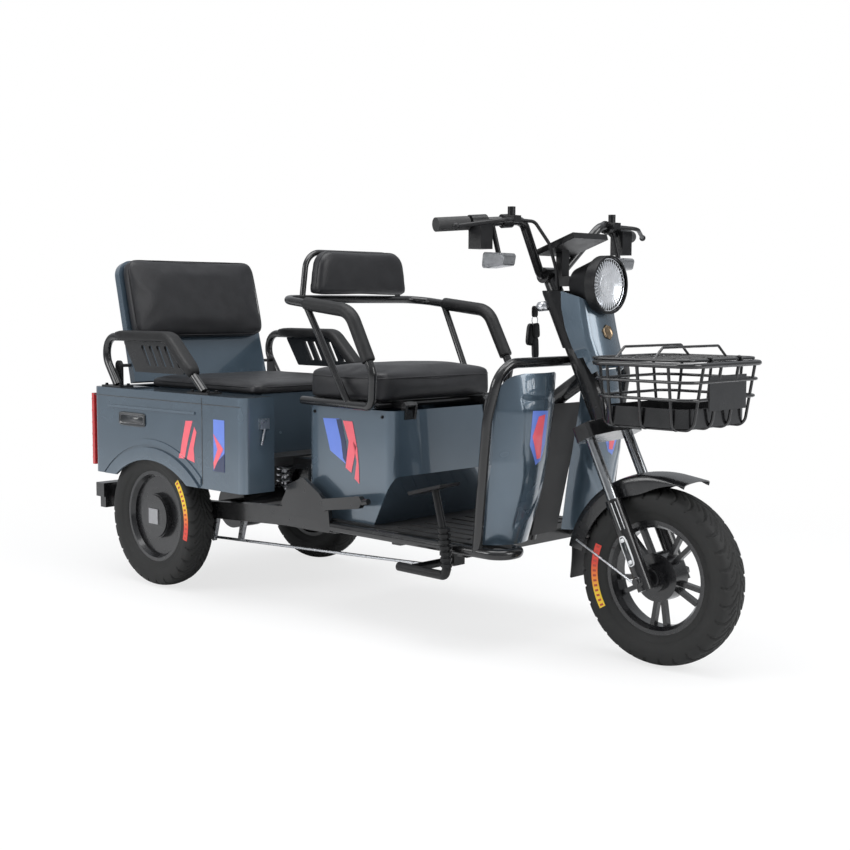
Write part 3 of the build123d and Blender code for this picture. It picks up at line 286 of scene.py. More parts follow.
def paints_and_metals():
    # The edge colours of these finishes are painted edge highlights.
    finish("paint_blue", (0.066, 0.098, 0.13), (0.074, 0.109, 0.143), (0.22, 0.28), (9, 2),
           ("noise", 1500, 0.00003), metallic=0.45, coat=1, coat_rough=0.03, edge=(0.15, 0.19, 0.23))
    finish("black_tube", (0.006, 0.006, 0.0065), (0.01, 0.01, 0.0105), (0.2, 0.28), (30, 2),
           ("noise", 900, 0.00004), coat=0.45, coat_rough=0.1, edge=(0.035, 0.035, 0.035), specular=0.35)
    finish("deck_black", (0.014, 0.014, 0.015), (0.024, 0.024, 0.024), (0.42, 0.58), (18, 4),
           ("noise", 500, 0.0002), specular=0.3)
    finish("rim_black", (0.009, 0.009, 0.01), (0.014, 0.014, 0.015), (0.22, 0.3), (30, 2),
           ("noise", 800, 0.00005), coat=0.4, coat_rough=0.14, edge=(0.05, 0.05, 0.05), specular=0.35)
    finish("steel", (0.5, 0.51, 0.53), (0.6, 0.61, 0.63), (0.22, 0.38), (120, 3),
           ("noise", 1500, 0.00004), metallic=1)
    finish("chrome", (0.5, 0.51, 0.53), (0.58, 0.59, 0.61), (0.2, 0.28), metallic=1)
    finish("fork_chrome", (0.3, 0.31, 0.32), (0.36, 0.37, 0.38), (0.16, 0.22), metallic=1)
    finish("mirror_dark", (0.03, 0.03, 0.033), (0.042, 0.042, 0.045), (0.35, 0.45), metallic=0.2)
    finish("hub_grey", (0.28, 0.28, 0.29), (0.34, 0.34, 0.35), (0.3, 0.4), (30, 2), metallic=0.3)
    finish("bronze", (0.26, 0.19, 0.12), (0.32, 0.24, 0.16), (0.2, 0.3), (40, 2), metallic=1)


def plastics_and_rubbers():
    finish("black_plastic", (0.006, 0.006, 0.0065), (0.009, 0.009, 0.01), (0.3, 0.4), (40, 2),
           ("cells", 900, 0.00012), specular=0.28)
    finish("seat_black", (0.01, 0.01, 0.0115), (0.015, 0.015, 0.017), (0.36, 0.46), (26, 3),
           ("cells", 620, 0.0002), sheen=0.03, specular=0.36)
    finish("pad_black", (0.008, 0.008, 0.0085), (0.012, 0.012, 0.0125), (0.42, 0.54), (40, 2),
           ("cells", 800, 0.0002), specular=0.3)
    # The tyre's edge colour is a painted edge highlight.
    finish("tyre", (0.012, 0.012, 0.012), (0.021, 0.021, 0.02), (0.55, 0.72), (24, 5),
           ("noise", 420, 0.0003), edge=(0.045, 0.045, 0.045), specular=0.32)
    finish("grip", (0.012, 0.012, 0.0125), (0.018, 0.018, 0.0185), (0.5, 0.62), (40, 2),
           ("cells", 500, 0.0004))
    finish("battery", (0.09, 0.095, 0.1), (0.12, 0.125, 0.13), (0.5, 0.6), (30, 2), ("cells", 700, 0.0001))


def lenses():
    finish("lens_clear", (0.12, 0.125, 0.13), (0.18, 0.185, 0.195), (0.1, 0.18), (60, 2),
           ("cells", 260, 0.0006), metallic=0.5, coat=1, coat_rough=0.03)
    finish("lens_red", (0.42, 0.012, 0.012), (0.5, 0.02, 0.018), (0.14, 0.2), (50, 2),
           ("cells", 240, 0.0005), coat=1, coat_rough=0.04)
    tree, shader = new_material("lamp_glass")
    feed(tree, shader, {"Base Color": (0.96, 0.97, 0.98, 1), "Roughness": 0.02, "IOR": 1.05,
                        "Transmission Weight": 1.0})


def printed_foils():
    for name, low, high, rough in (
            ("decal_coral", (0.8, 0.115, 0.15), (0.84, 0.13, 0.165), (0.34, 0.4)),
            ("decal_blue", (0.115, 0.2, 0.62), (0.135, 0.225, 0.68), (0.34, 0.4)),
            ("decal_navy", (0.016, 0.026, 0.075), (0.02, 0.032, 0.09), (0.34, 0.4)),
            ("decal_dark", (0.01, 0.012, 0.014), (0.014, 0.016, 0.018), (0.3, 0.4))):
        finish(name, low, high, rough, (20, 2), coat=0.6)
    finish("white_mark", (0.7, 0.71, 0.72), (0.76, 0.77, 0.78), (0.35, 0.45), (20, 2))


def ramp_material(name, stops):
    """A printed strip whose colour runs along its U coordinate, with a row of small darker bars."""
    tree, shader = new_material(name)
    place = node(tree, "UVMap", {})
    apart = node(tree, "SeparateXYZ", {"Vector": place.outputs["UV"]})
    along, across = apart.outputs["X"], apart.outputs["Y"]
    ramp = node(tree, "ValToRGB", {"Fac": along})
    ends = ramp.color_ramp.elements
    for element, (position, colour) in zip(ends, (stops[0], stops[-1])):
        element.position = position
        element.color = (*colour, 1)
    for position, colour in stops[1:-1]:
        ends.new(position).color = (*colour, 1)
    beat = calculated(tree, "FRACT", calculated(tree, "MULTIPLY", along, 13))
    bar = calculated(tree, "COMPARE", beat, 0.5, 0.22)
    middle = calculated(tree, "COMPARE", across, 0.5, 0.26)
    both = calculated(tree, "MULTIPLY", bar, middle)
    colour = mixed(tree, both, ramp.outputs["Color"], (0.42, 0.05, 0.03, 1))
    feed(tree, shader, {"Base Color": colour, "Roughness": 0.45})


# ---- mesh helpers
def ring_faces(rows, count, first=0, closed=False, back=True):
    """Faces between rings of points: closed rounds off to the first ring, else the ends are covered."""
    faces = []
    for row in range(rows if closed else rows - 1):
        a, b = first + row * count, first + (row + 1) % rows * count
        for step in range(count):
            nxt = (step + 1) % count
            faces.append((a + step, a + nxt, b + nxt, b + step))
    if not closed:
        faces.append(tuple(range(first + (rows - 1) * count, first + rows * count)))
        if back:
            faces.append(tuple(reversed(range(first, first + count))))
    return faces


def grid_faces(rows, columns):
    corners = [i * columns + j for i in range(rows - 1) for j in range(columns - 1)]
    return [(a, a + 1, a + columns + 1, a + columns) for a in corners]


def paint(mesh, material):
    mesh.materials.clear()
    mesh.materials.append(MATERIALS[material])


def link_mesh(name, verts, faces, material, smooth=True):
    mesh = bpy.data.meshes.new(name)
    mesh.from_pydata([tuple(v) for v in verts], [], faces)
    mesh.validate()
    mesh.update()
    if smooth:
        mesh.shade_smooth()
    paint(mesh, material)
    return linked(name, mesh)


def copy_of(node_name, name, material):
    """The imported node's mesh as a new object."""
    mesh = NODES[node_name].data.copy()
    mesh.name = name
    paint(mesh, material)
    return linked(name, mesh)


def settle(obj, body, node_name=None):
    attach(obj, body)
    if node_name:
        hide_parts(node_name)
    return obj


def add_piece(name, verts, faces, material, body, node_name=None, smooth=True):
    return settle(link_mesh(name, verts, faces, material, smooth), body, node_name)


def modify(obj, kind, **values):
    modifier = obj.modifiers.new(kind.lower(), kind)
    for name, value in values.items():
        setattr(modifier, name, value)
    return modifier


def apply_all(obj):
    """Replaces the object's mesh by what its modifiers make of it."""
    graph = bpy.context.evaluated_depsgraph_get()
    made = bpy.data.meshes.new_from_object(obj.evaluated_get(graph))
    obj.modifiers.clear()
    old = obj.data
    obj.data = made
    bpy.data.meshes.remove(old)


def tree_of(obj):
    return BVHTree.FromObject(obj, bpy.context.evaluated_depsgraph_get())


def tube(name, points, radius, material, body, closed=False):
    """Thin round tube along the points, with its ends covered; radius in metres."""
    points = [Vector(p) for p in points]
    count, sides = len(points), 8
    verts = []
    normal = None
    for index, point in enumerate(points):
        before = points[index - 1] if (index or closed) else point
        after = points[(index + 1) % count] if (index < count - 1 or closed) else point
        along = (after - before).normalized()
        if normal is None:
            normal = along.orthogonal().normalized()
        normal = (normal - along * normal.dot(along)).normalized()
        other = along.cross(normal)
        verts += [point + (normal * c + other * s) * radius for c, s in circle(sides)]
    return add_piece(name, verts, ring_faces(count, sides, closed=closed), material, body)


# ---- cushions and pads
def swell(obj, pinned, cap):
    """Inflates a closed mesh with a cloth simulation: some vertices are pinned, none moves past the cap."""
    last_frame = 20
    start = [v.co.copy() for v in obj.data.vertices]
    pins = obj.vertex_groups.new(name="pins")
    pins.add(pinned, 1, "REPLACE")
    cloth = modify(obj, "CLOTH")
    settings = cloth.settings
    settings.use_pressure = True
    settings.uniform_pressure_force = 4.0
    settings.vertex_group_mass = "pins"
    settings.effector_weights.gravity = 0
    settings.quality = 5
    settings.tension_stiffness = settings.compression_stiffness = 60
    settings.shear_stiffness = 40
    settings.bending_stiffness = 30
    cloth.point_cache.frame_start = 1
    cloth.point_cache.frame_end = last_frame
    for number in range(1, last_frame + 1):
        bpy.context.scene.frame_set(number)
    graph = bpy.context.evaluated_depsgraph_get()
    ends = [v.co.copy() for v in obj.evaluated_get(graph).data.vertices]
    obj.modifiers.clear()
    bpy.context.scene.frame_set(1)
    for vertex, first, last in zip(obj.data.vertices, start, ends):
        move = last - first
        if move.length > cap:
            move *= cap / move.length
        vertex.co = first + move
    obj.vertex_groups.clear()


def cushion(node_name, name, body, under, edge_steps, cap, grow):
    """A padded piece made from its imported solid: rounded, swollen by cloth and flat on its under side."""
    inset, rounded_share, pinned_depth = 0.004, 0.35, 0.006
    obj = copy_of(node_name, name, "seat_black")
    centre = middle_of(node_name)
    for vertex in obj.data.vertices:
        vertex.co = centre + Vector(a * b for a, b in zip(vertex.co - centre, grow))
    base = max(v.co.dot(under) for v in obj.data.vertices)
    modify(obj, "REMESH", mode="VOXEL", voxel_size=0.005)
    apply_all(obj)
    obj.data.shade_smooth()
    face = min(v.co.dot(under) for v in obj.data.vertices)
    middle = sum((v.co for v in obj.data.vertices), Vector()) / len(obj.data.vertices)
    free = obj.vertex_groups.new(name="free")
    for vertex in obj.data.vertices:
        share = (base - vertex.co.dot(under)) / max(rounded_share * (base - face), 1e-6)
        free.add([vertex.index], max(0.05, min(1, share)), "REPLACE")
        flat = vertex.co - middle
        flat -= under * flat.dot(under)
        if flat.length > 1e-6:
            vertex.co -= flat.normalized() * inset
    modify(obj, "SMOOTH", factor=0.5, iterations=edge_steps, vertex_group="free")
    apply_all(obj)
    obj.vertex_groups.clear()
    swell(obj, [v.index for v in obj.data.vertices if base - v.co.dot(under) < pinned_depth], cap)
    modify(obj, "SMOOTH", factor=0.5, iterations=30)
    apply_all(obj)
    modify(obj, "SUBSURF", levels=1, render_levels=1)
    apply_all(obj)
    obj.data.shade_smooth()
    settle(obj, body, node_name)
    return obj


def piping(pad, name, body, under, share, outline):
    """A sewn bead round a cushion, a share of the way from its face to its base, drawn in from an outline."""
    tree = tree_of(pad)
    reach = [v.co.dot(under) for v in pad.data.vertices]
    level = min(reach) + (max(reach) - min(reach)) * share
    points = []
    for point in outline:
        point = point + under * (level - point.dot(under))
        found = tree.find_nearest(point)[0]
        points.append(found + under * (level - found.dot(under)))
    tube(name, points, 0.0016, "seat_black", body, closed=True)


def make_cushions():
    """Seat, back and head cushions, each with its seam; under is the way to the side that it rests on."""
    side, room = Vector((0, 1, 0)), 0.01
    down, rearward = Vector((0, 0, -1)), Vector((-1, 0, 0))
    behind = Vector((-cos(BACK_LEAN), 0, -sin(BACK_LEAN))).normalized()
    specs = (
        ("rear_seat_cushion", "rear_seat_pad", "chassis", down, 12, 0.005, 0.45, 0.5, (1, 1, 1)),
        ("driver_seat_cushion", "driver_seat_pad", "driver_seat", down, 34, 0.012, 0.34, 0.8,
         (1.09, 1.05, 1)),
        ("back_cushion", "back_pad", "rear_backrest", behind, 26, 0.01, 0.38, 0.7, (1, 1.02, 1.04)),
        ("headrest_cushion", "headrest_pad", "driver_seat", rearward, 22, 0.008, 0.4, 0.7, (1, 0.98, 1.16)))
    for node_name, name, body, under, steps, cap, share, fill, grow in specs:
        pad = cushion(node_name, name, body, under, steps, cap, grow)
        low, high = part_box(node_name)
        centre = (low + high) / 2
        up = under.cross(side).normalized()
        heights = [v.co.dot(up) for v in pad.data.vertices]
        half_w = (high.y - low.y) / 2 * grow[1] + room
        half_h = 0.5 * (max(heights) - min(heights)) + room
        outline = [centre + side * (half_w * c) + up * (half_h * s) for c, s in circle(160, 5)]
        piping(pad, name + "_seam", body, under, share, outline)


def make_driver_arm_foam():
    """Moulded foam of the driver's armrests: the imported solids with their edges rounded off."""
    foam = copy_of("driver_arm_pads", "driver_arm_foam", "pad_black")
    modify(foam, "REMESH", mode="VOXEL", voxel_size=0.003)
    modify(foam, "SMOOTH", factor=0.5, iterations=6)
    apply_all(foam)
    foam.data.shade_smooth()
    settle(foam, "driver_seat", "driver_arm_pads")


def arm_line():
    """The middle line of a rear arm pad, seen from the side: a level top, a bend and a slope to the front."""
    start, corner, end, radius = Vector((-189, 727)), Vector((70, 727)), Vector((182.3, 624.7)), 60.0
    first, second = (start - corner).normalized(), (end - corner).normalized()
    half_turn = first.angle(second) / 2
    cut = radius / tan(half_turn)
    hub = corner + (first + second).normalized() * (radius / sin(half_turn))
    a, b = corner + first * cut, corner + second * cut
    spoke, swing = a - hub, (a - hub).angle_signed(b - hub)
    line = [start.lerp(a, k / 12) for k in range(13)]
    for k in range(1, 12):
        c, s = cos(-swing * k / 12), sin(-swing * k / 12)
        line.append(hub + Vector((spoke.x * c - spoke.y * s, spoke.x * s + spoke.y * c)))
    return line + [b.lerp(end, k / 8) for k in range(9)]


def make_rear_arm_foam():
    """Soft pads bent over the rear armrests and down their front legs."""
    line, count = arm_line(), 36
    last = len(line) - 1
    arm_y, half_w, half_h = 314, 22.5, 15.5
    for side, tag in SIDES:
        verts = []
        for k, spot in enumerate(line):
            way = (line[min(k + 1, last)] - line[max(k - 1, 0)]).normalized()
            out = Vector((-way.y, way.x))
            trim = (0.72, 0.92, 1)[min(k, last - k, 2)]
            for c, s in circle(count, 4):
                place = spot + out * (half_h * s * trim)
                verts.append(at(place.x, side * arm_y + half_w * c * trim, place.y))
        foam = add_piece("rear_arm_foam_" + tag, verts, ring_faces(len(line), count), "pad_black", "chassis",
                         "rear_arm_pads" if side < 0 else None)


# ---- tyres
# Half a tyre's section, as (distance from its middle plane, radius), and the radius where its tread begins.
TYRE_PROFILE = (
    (29, 132.5), (31.5, 136), (33.5, 141), (36.5, 148), (37.6, 150), (38.6, 151), (39.6, 153), (42, 160),
    (43.6, 168), (43.9, 174), (43.4, 180), (42.6, 183.5), (42.4, 184.5), (42, 187.5), (40.6, 191),
    (38.4, 194), (35.4, 196.6), (31.5, 198.8), (26.5, 200.8), (20, 202.7), (13, 204), (6, 204.8), (0, 205))
TREAD_FROM = 186


def groove(distance, half, soft):
    """1 inside a groove of that half width, 0 outside it."""
    return 1.0 - eased((abs(distance) - half) / soft)


def tread_depth(turn, across):
    """Depth of the tread at an angle round the wheel and a place across it: a waved rib and rows of cuts."""
    cuts, waves, wave_height, half_width, radius = 30, 15, 3.2, 42, 200
    pitch = 2 * pi / cuts
    side = 1 if across >= 0 else -1
    share = abs(across) / half_width
    wave = sin(turn * waves) * wave_height
    phase = (turn + side * pitch / 4 + 0.24 * sin(share * 1.9)) / pitch
    wide = (phase - round(phase)) * pitch * radius
    fine = (phase + 0.5 - round(phase + 0.5)) * pitch * radius
    return max(3.4 * groove(across - wave, 1.2, 0.9),
               4.8 * groove(wide, 2.6, 1.2) * groove(share - 0.62, 0.42, 0.05),
               3.2 * groove(fine, 1.4, 0.9) * groove(share - 0.42, 0.2, 0.04))


def fine_profile(step):
    """The tyre's profile from the right bead to the left one, in equal steps."""
    half = [Vector(p) for p in TYRE_PROFILE]
    whole = half + [Vector((-p.x, p.y)) for p in reversed(half[:-1])]
    points = [whole[0]]
    left = step
    for a, b in zip(whole, whole[1:]):
        length = (b - a).length
        while left <= length:
            points.append(a.lerp(b, left / length))
            left += step
        left -= length
    points.append(whole[-1])
    return points


def tyre(name, node_name, body):
    """A tyre with its tread cut in, closed on the inside by a narrow band."""
    centre, rounds = middle_of(node_name), 660
    section = fine_profile(2.6) + [Vector((-22, 131)), Vector((22, 131))]
    verts = []
    for index, (c, s) in enumerate(circle(rounds)):
        for across, radius in section:
            if radius > TREAD_FROM:
                radius -= tread_depth(2 * pi * index / rounds, across)
            verts.append((centre.x + radius * MM * c, centre.y + across * MM, centre.z + radius * MM * s))
    faces = [(a, d, c, b) for a, b, c, d in ring_faces(rounds, len(section), closed=True)]
    add_piece(name, verts, faces, "tyre", body, node_name)


def wall_at(radius):
    """Half the tyre's width at a radius on its wall."""
    wall = sorted((p[1], p[0]) for p in TYRE_PROFILE)
    return next(a[1] + (b[1] - a[1]) * (radius - a[0]) / (b[0] - a[0])
                for a, b in zip(wall, wall[1:]) if a[0] <= radius <= b[0])


def tyre_strip(name, node_name, body, start, end, radii, material, side=-1):
    """A printed arc on a tyre's outer wall, from one angle to another, in degrees from straight ahead."""
    centre, rows, steps, lift = middle_of(node_name), 6, 60, 0.5
    verts, coords = [], []
    for i in range(steps + 1):
        share = i / steps
        turn = radians(start + (end - start) * share)
        for j in range(rows + 1):
            radius = radii[0] + (radii[1] - radii[0]) * j / rows
            verts.append((centre.x + radius * MM * cos(turn), centre.y + side * (wall_at(radius) + lift) * MM,
                          centre.z + radius * MM * sin(turn)))
            coords.append((share, j / rows))
    strip = add_piece(name, verts, grid_faces(steps + 1, rows + 1), material, body)
    layer = strip.data.uv_layers.new(name="strip")
    for loop in strip.data.loops:
        layer.data[loop.index].uv = coords[loop.vertex_index]


def make_tyres():
    tyre("front_tread", "front_tyre", "front_wheel")
    red, orange, yellow = (0.66, 0.05, 0.03), (0.8, 0.24, 0.03), (0.8, 0.54, 0.03)
    ramp_material("strip_front", ((0, red), (0.3, red), (0.55, orange), (0.75, yellow), (1, yellow)))
    ramp_material("strip_rear", ((0, yellow), (0.45, yellow), (0.6, orange), (0.8, red), (1, red)))
    tyre_strip("front_strip", "front_tyre", "front_wheel", 158, 213, (152, 167), "strip_front")
    for side, tag in SIDES:
        node_name, body = "rear_tyre_" + tag, "rear_wheel_" + tag
        tyre("rear_%s_tread" % tag, node_name, body)
        tyre_strip("rear_%s_strip" % tag, node_name, body, 41, -16, (166, 184), "strip_rear", side)


# ---- turned parts, plates and blocks
def turned_mesh(profile, origin, axis, sides, verts, faces):
    """Adds a surface turned round an axis: profile is (along, radius) in millimetres."""
    axis = Vector(axis).normalized()
    across = axis.orthogonal().normalized()
    other = axis.cross(across)
    faces += ring_faces(len(profile), sides, len(verts))
    for along, radius in profile:
        for c, s in circle(sides):
            spoke = across * c + other * s
            verts.append(origin + axis * (along * MM) + spoke * (radius * MM))


def turned(name, profile, origin, axis, material, body, sides):
    verts, faces = [], []
    turned_mesh(profile, origin, axis, sides, verts, faces)
    add_piece(name, verts, faces, material, body)


def bolts(name, spots):
    """Black hexagon bolt heads on washers; each spot is a place, the way it points and its head's radius."""
    verts, faces = [], []
    for place, way, radius in spots:
        washer = [(-0.6, radius * 1.35), (0.9, radius * 1.35), (1.2, radius * 1.2), (1.2, radius * 0.9)]
        head = [(1, radius), (1.0 + radius * 0.75, radius), (1.0 + radius, radius * 0.82)]
        turned_mesh(washer, place, way, 20, verts, faces)
        turned_mesh(head, place, way, 6, verts, faces)
    add_piece(name, verts, faces, "black_plastic", "chassis", smooth=False)


def rounded_plate(name, centre, right, up, half_w, half_h, levels, material, body, power=8, count=64,
                  back=True):
    """A flat plate with rounded corners; levels are (height above the centre, inset) in millimetres."""
    right, up = Vector(right).normalized(), Vector(up).normalized()
    out = right.cross(up)
    verts = []
    for level, inset in levels:
        for c, s in circle(count, power):
            across = right * ((half_w - inset) * c * MM) + up * ((half_h - inset) * s * MM)
            verts.append(centre + across + out * (level * MM))
    add_piece(name, verts, ring_faces(len(levels), count, back=back), material, body)


def soft_block(name, centre, half, material, power=4, tilt=0):
    """A rounded block on the key ring: a closed superellipsoid, tilted about the X axis."""
    verts, rows, count = [], 14, 28
    turn_by = Matrix.Rotation(tilt, 3, "X")

    def bent(value):
        return copysign(abs(value) ** (2 / power), value)

    for row in range(1, rows):
        rise = pi * row / rows - pi / 2
        wide = bent(cos(rise))
        for c, s in circle(count):
            spot = Vector((half[0] * wide * bent(c), half[1] * wide * bent(s), half[2] * bent(sin(rise))))
            verts.append(centre + turn_by @ spot * MM)
    return add_piece(name, verts, ring_faces(rows - 1, count), material, "steering")


def panel_grid(name, rows, thick, material, body, node_name=None, inward=-1):
    """A moulded skin through a grid of points, thickened to one side, with sharp edges."""
    width = len(rows[0])
    verts = [point for row in rows for point in row]
    skin = link_mesh(name, verts, grid_faces(len(rows), width), material)
    modify(skin, "SOLIDIFY", thickness=thick * MM, offset=inward, use_even_offset=True)
    apply_all(skin)
    skin.data.shade_smooth()
    modify(skin, "EDGE_SPLIT", split_angle=radians(38))
    apply_all(skin)
    settle(skin, body, node_name)


# ---- moulded skins
# At levels along the steering axis: the cowl's rear edge, its front corner, its nose and half its width.
COWL = ((487, 43, 77, 83, 50), (512, 37, 81, 88, 58), (565, 32, 87, 96, 62), (610, 32, 97, 106, 62),
        (660, 42, 111, 121, 62), (712, 64, 128, 138, 62))
COWL_TOP = ((1100, 856), (1281, 856), (1335, 842), (1395, 806), (1600, 800))
LAMP_BOWL = ((1286, 38), (1348, 63), (1352, 67), (1400, 67))
LAMP_BACK, LAMP_Z = 1284, 871


def cowl_point(share, along):
    """A point of the cowl's face: share runs from its right rear edge over the nose to the left one."""
    rear, edge, nose, half = between(COWL, along)
    if along < 530:
        rear = max(rear, 50)
    corner, corner_from, corner_to = 15, 0.42, 0.62
    side = -1 if share < 0.5 else 1
    t = abs(share - 0.5) * 2
    if t > corner_to:
        k = (t - corner_to) / (1 - corner_to)
        return side * half, edge - corner + (rear - edge + corner) * k
    if t > corner_from:
        turn = (t - corner_from) / (corner_to - corner_from) * pi / 2
        return side * (half - corner + corner * sin(turn)), edge - corner + corner * cos(turn)
    k = t / corner_from
    return side * (half - corner) * k, nose + (edge - nose) * k * k


def cowl_free(spot):
    """Whether a point lies below the cowl's upper edge and outside the lamp."""
    x, y, z = in_millimetres(spot)
    if z > between(COWL_TOP, x)[0]:
        return False
    return not (x > LAMP_BACK and hypot(y, z - LAMP_Z) < between(LAMP_BOWL, x)[0])


def make_cowl():
    """Painted cowl round the steering head, trimmed along its upper edge and the lamp by halving."""
    columns, rows = 61, [[] for _ in range(41)]
    low, top = COWL[0][0], COWL[-1][0]
    for j in range(columns):

        def spot(along):
            return steered(along, *cowl_point(j / (columns - 1), along))

        high = top
        if not cowl_free(spot(high)):
            good, bad = low, high
            for _ in range(24):
                middle = (good + bad) / 2
                good, bad = (middle, bad) if cowl_free(spot(middle)) else (good, middle)
            high = good
        for i, row in enumerate(rows):
            row.append(spot(low + (high - low) * i / (len(rows) - 1)))
    panel_grid("cowl_skin", rows, 3, "paint_blue", "steering", "head_cowl")


def make_lock_cover():
    """Black cover behind the head tube with a bevelled top, open to the front, and the lock's barrel."""
    back_radius = 31.5
    half = [(50, 46), (28, 40), (10, 33)]
    for turn in range(85, 180, 12):
        half.append((back_radius * cos(radians(turn)), back_radius * sin(radians(turn))))
    plan = half + [(ahead, -aside) for ahead, aside in reversed(half)]
    rows = []
    for level, pinch in ((721, 1), (724, 1), (760, 1), (800, 1), (836, 1), (850, 1),
                         (857, 0.96), (858, 0.9)):
        rows.append([steered((level - HUB_Z - ahead * pinch * sin(RAKE)) / cos(RAKE), aside * pinch,
                             ahead * pinch) for ahead, aside in plan])
    middle = sum(rows[-1], Vector()) / len(plan)
    rows.append([point.lerp(middle, 0.62) for point in rows[-1]])
    panel_grid("lock_housing", rows, 3, "black_plastic", "steering", "lock_cover")
    barrel = [(-6, 12), (22, 12), (24, 10.6), (24, 6), (22.6, 5.5)]
    turned("lock_barrel", barrel, lock_place(), (-1, 0, -0.12), "chrome", "steering", 32)


def lock_place():
    return steered(700, -16, -28)


# One leg shield: its height, then three points (x, y) of its curved face at that height. BLADE is the outline
# (y, z) of its recess.
LOBE = ((262, 1184, 72, 1236, 150, 1180, 236), (360, 1208, 58, 1264, 146, 1206, 240),
        (460, 1229, 50, 1284, 146, 1222, 244), (580, 1252, 50, 1292, 142, 1226, 244),
        (672, 1262, 52, 1278, 140, 1226, 236))
BLADE = ((60, 500), (64, 604), (190, 612), (187, 480), (176, 424), (182, 304), (137, 332), (78, 430))
LOBE_BOTTOM, LOBE_TOP = 262.5, 666
LOBE_INNER, LOBE_OUTER, LOBE_WIDEST = 52.5, 237, 242


def arc_x(level, y):
    """How far forward the lobe's face lies at a height and a place across, on the arc of three points."""
    x0, y0, x1, y1, x2, y2 = between(LOBE, level)
    d = 2 * (x0 * (y1 - y2) + x1 * (y2 - y0) + x2 * (y0 - y1))
    a, b, c = x0 * x0 + y0 * y0, x1 * x1 + y1 * y1, x2 * x2 + y2 * y2
    cx = (a * (y1 - y2) + b * (y2 - y0) + c * (y0 - y1)) / d
    cy = (a * (x2 - x1) + b * (x0 - x2) + c * (x1 - x0)) / d
    radius = hypot(x0 - cx, y0 - cy)
    return cx + sqrt(max(0, radius * radius - (y - cy) ** 2))


def inside_depth(point, outline):
    """How deep a point lies inside an outline, negative outside it."""
    inside, nearest = False, 1e9
    for a, b in zip(outline, outline[1:] + outline[:1]):
        if (a[1] > point[1]) != (b[1] > point[1]):
            if point[0] < a[0] + (point[1] - a[1]) * (b[0] - a[0]) / (b[1] - a[1]):
                inside = not inside
        along = Vector(b) - Vector(a)
        share = clamped((Vector(point) - Vector(a)).dot(along) / along.length_squared)
        nearest = min(nearest, (Vector(a) + along * share - Vector(point)).length)
    return nearest if inside else -nearest


def corner_edge(level, radius):
    """How far a rounded top corner has come in from its side, at a height."""
    rise = max(0, level - (LOBE_TOP - radius))
    return radius - sqrt(max(0, radius ** 2 - rise ** 2))


def make_leg_shields():
    """Thin painted lobes with rounded top corners and a recessed blade-shaped panel."""
    heights, width, outer_corner, inner_corner, recess, trim = 82, 49, 58, 14, 2.4, 0.2
    for side, tag in SIDES:
        rows = []
        for i in range(heights):
            level = LOBE_BOTTOM + (LOBE_TOP - LOBE_BOTTOM) * i / (heights - 1)
            inner = between(LOBE, level)[1] + trim
            outer = min(between(LOBE, level)[5] - trim, LOBE_WIDEST)
            if level > LOBE_TOP - outer_corner:
                outer = min(outer, LOBE_OUTER - corner_edge(level, outer_corner))
            if level > LOBE_TOP - inner_corner:
                inner = max(inner, LOBE_INNER + corner_edge(level, inner_corner))
            row = []
            for j in range(width):
                y = inner + (outer - inner) * j / (width - 1)
                x = arc_x(level, y) - recess * eased(inside_depth((y, level), BLADE) / 4.0 + 0.5)
                row.append(at(x, side * y, level))
            rows.append(row)
        right = side < 0
        panel_grid("leg_shield_" + tag, rows, 4, "paint_blue", "chassis",
                   "leg_shields" if right else None, 1 if right else -1)


def make_fender():
    """Front mudguard with a crowned top, skirts that narrow to a beak, a rolled edge and a mudflap."""
    rows, count, first, last = [], 61, 68, 168
    wall, rim = 53, 236
    for i in range(count):
        degrees = first + (last - first) * i / (count - 1)
        c, s = cos(radians(degrees)), sin(radians(degrees))
        skirt = 7 + 36 * eased((degrees - first) / 34)
        lift = 7 * max(0, 1 - (degrees - first) / 14) ** 2
        half = [(-wall, rim - skirt), (-wall, rim - 0.66 * skirt), (-wall, rim - 0.33 * skirt - 2),
                (-52.4, 231), (-50, 234), (-45, 236.4), (-36, 238), (-24, 239.4), (-12, 240.4)]
        section = half + [(0, 240.8)] + [(-y, radius) for y, radius in reversed(half)]
        rows.append([at(FRONT_X + (radius + lift) * c, y, HUB_Z + (radius + lift) * s)
                     for y, radius in section])
    panel_grid("fender_skin", rows, 3, "rim_black", "steering", "front_fender")
    flap = []
    for k in range(12):
        drop = k / 11
        x = FRONT_X - 228 - 7 * drop + 3.0 * sin(drop * pi)
        half_w = 36 - 4 * drop ** 3
        flap.append([at(x, half_w * (j / 7 - 1), HUB_Z + 56 - 90 * drop) for j in range(15)])
    panel_grid("fender_flap", flap, 4, "black_plastic", "steering", None, 1)


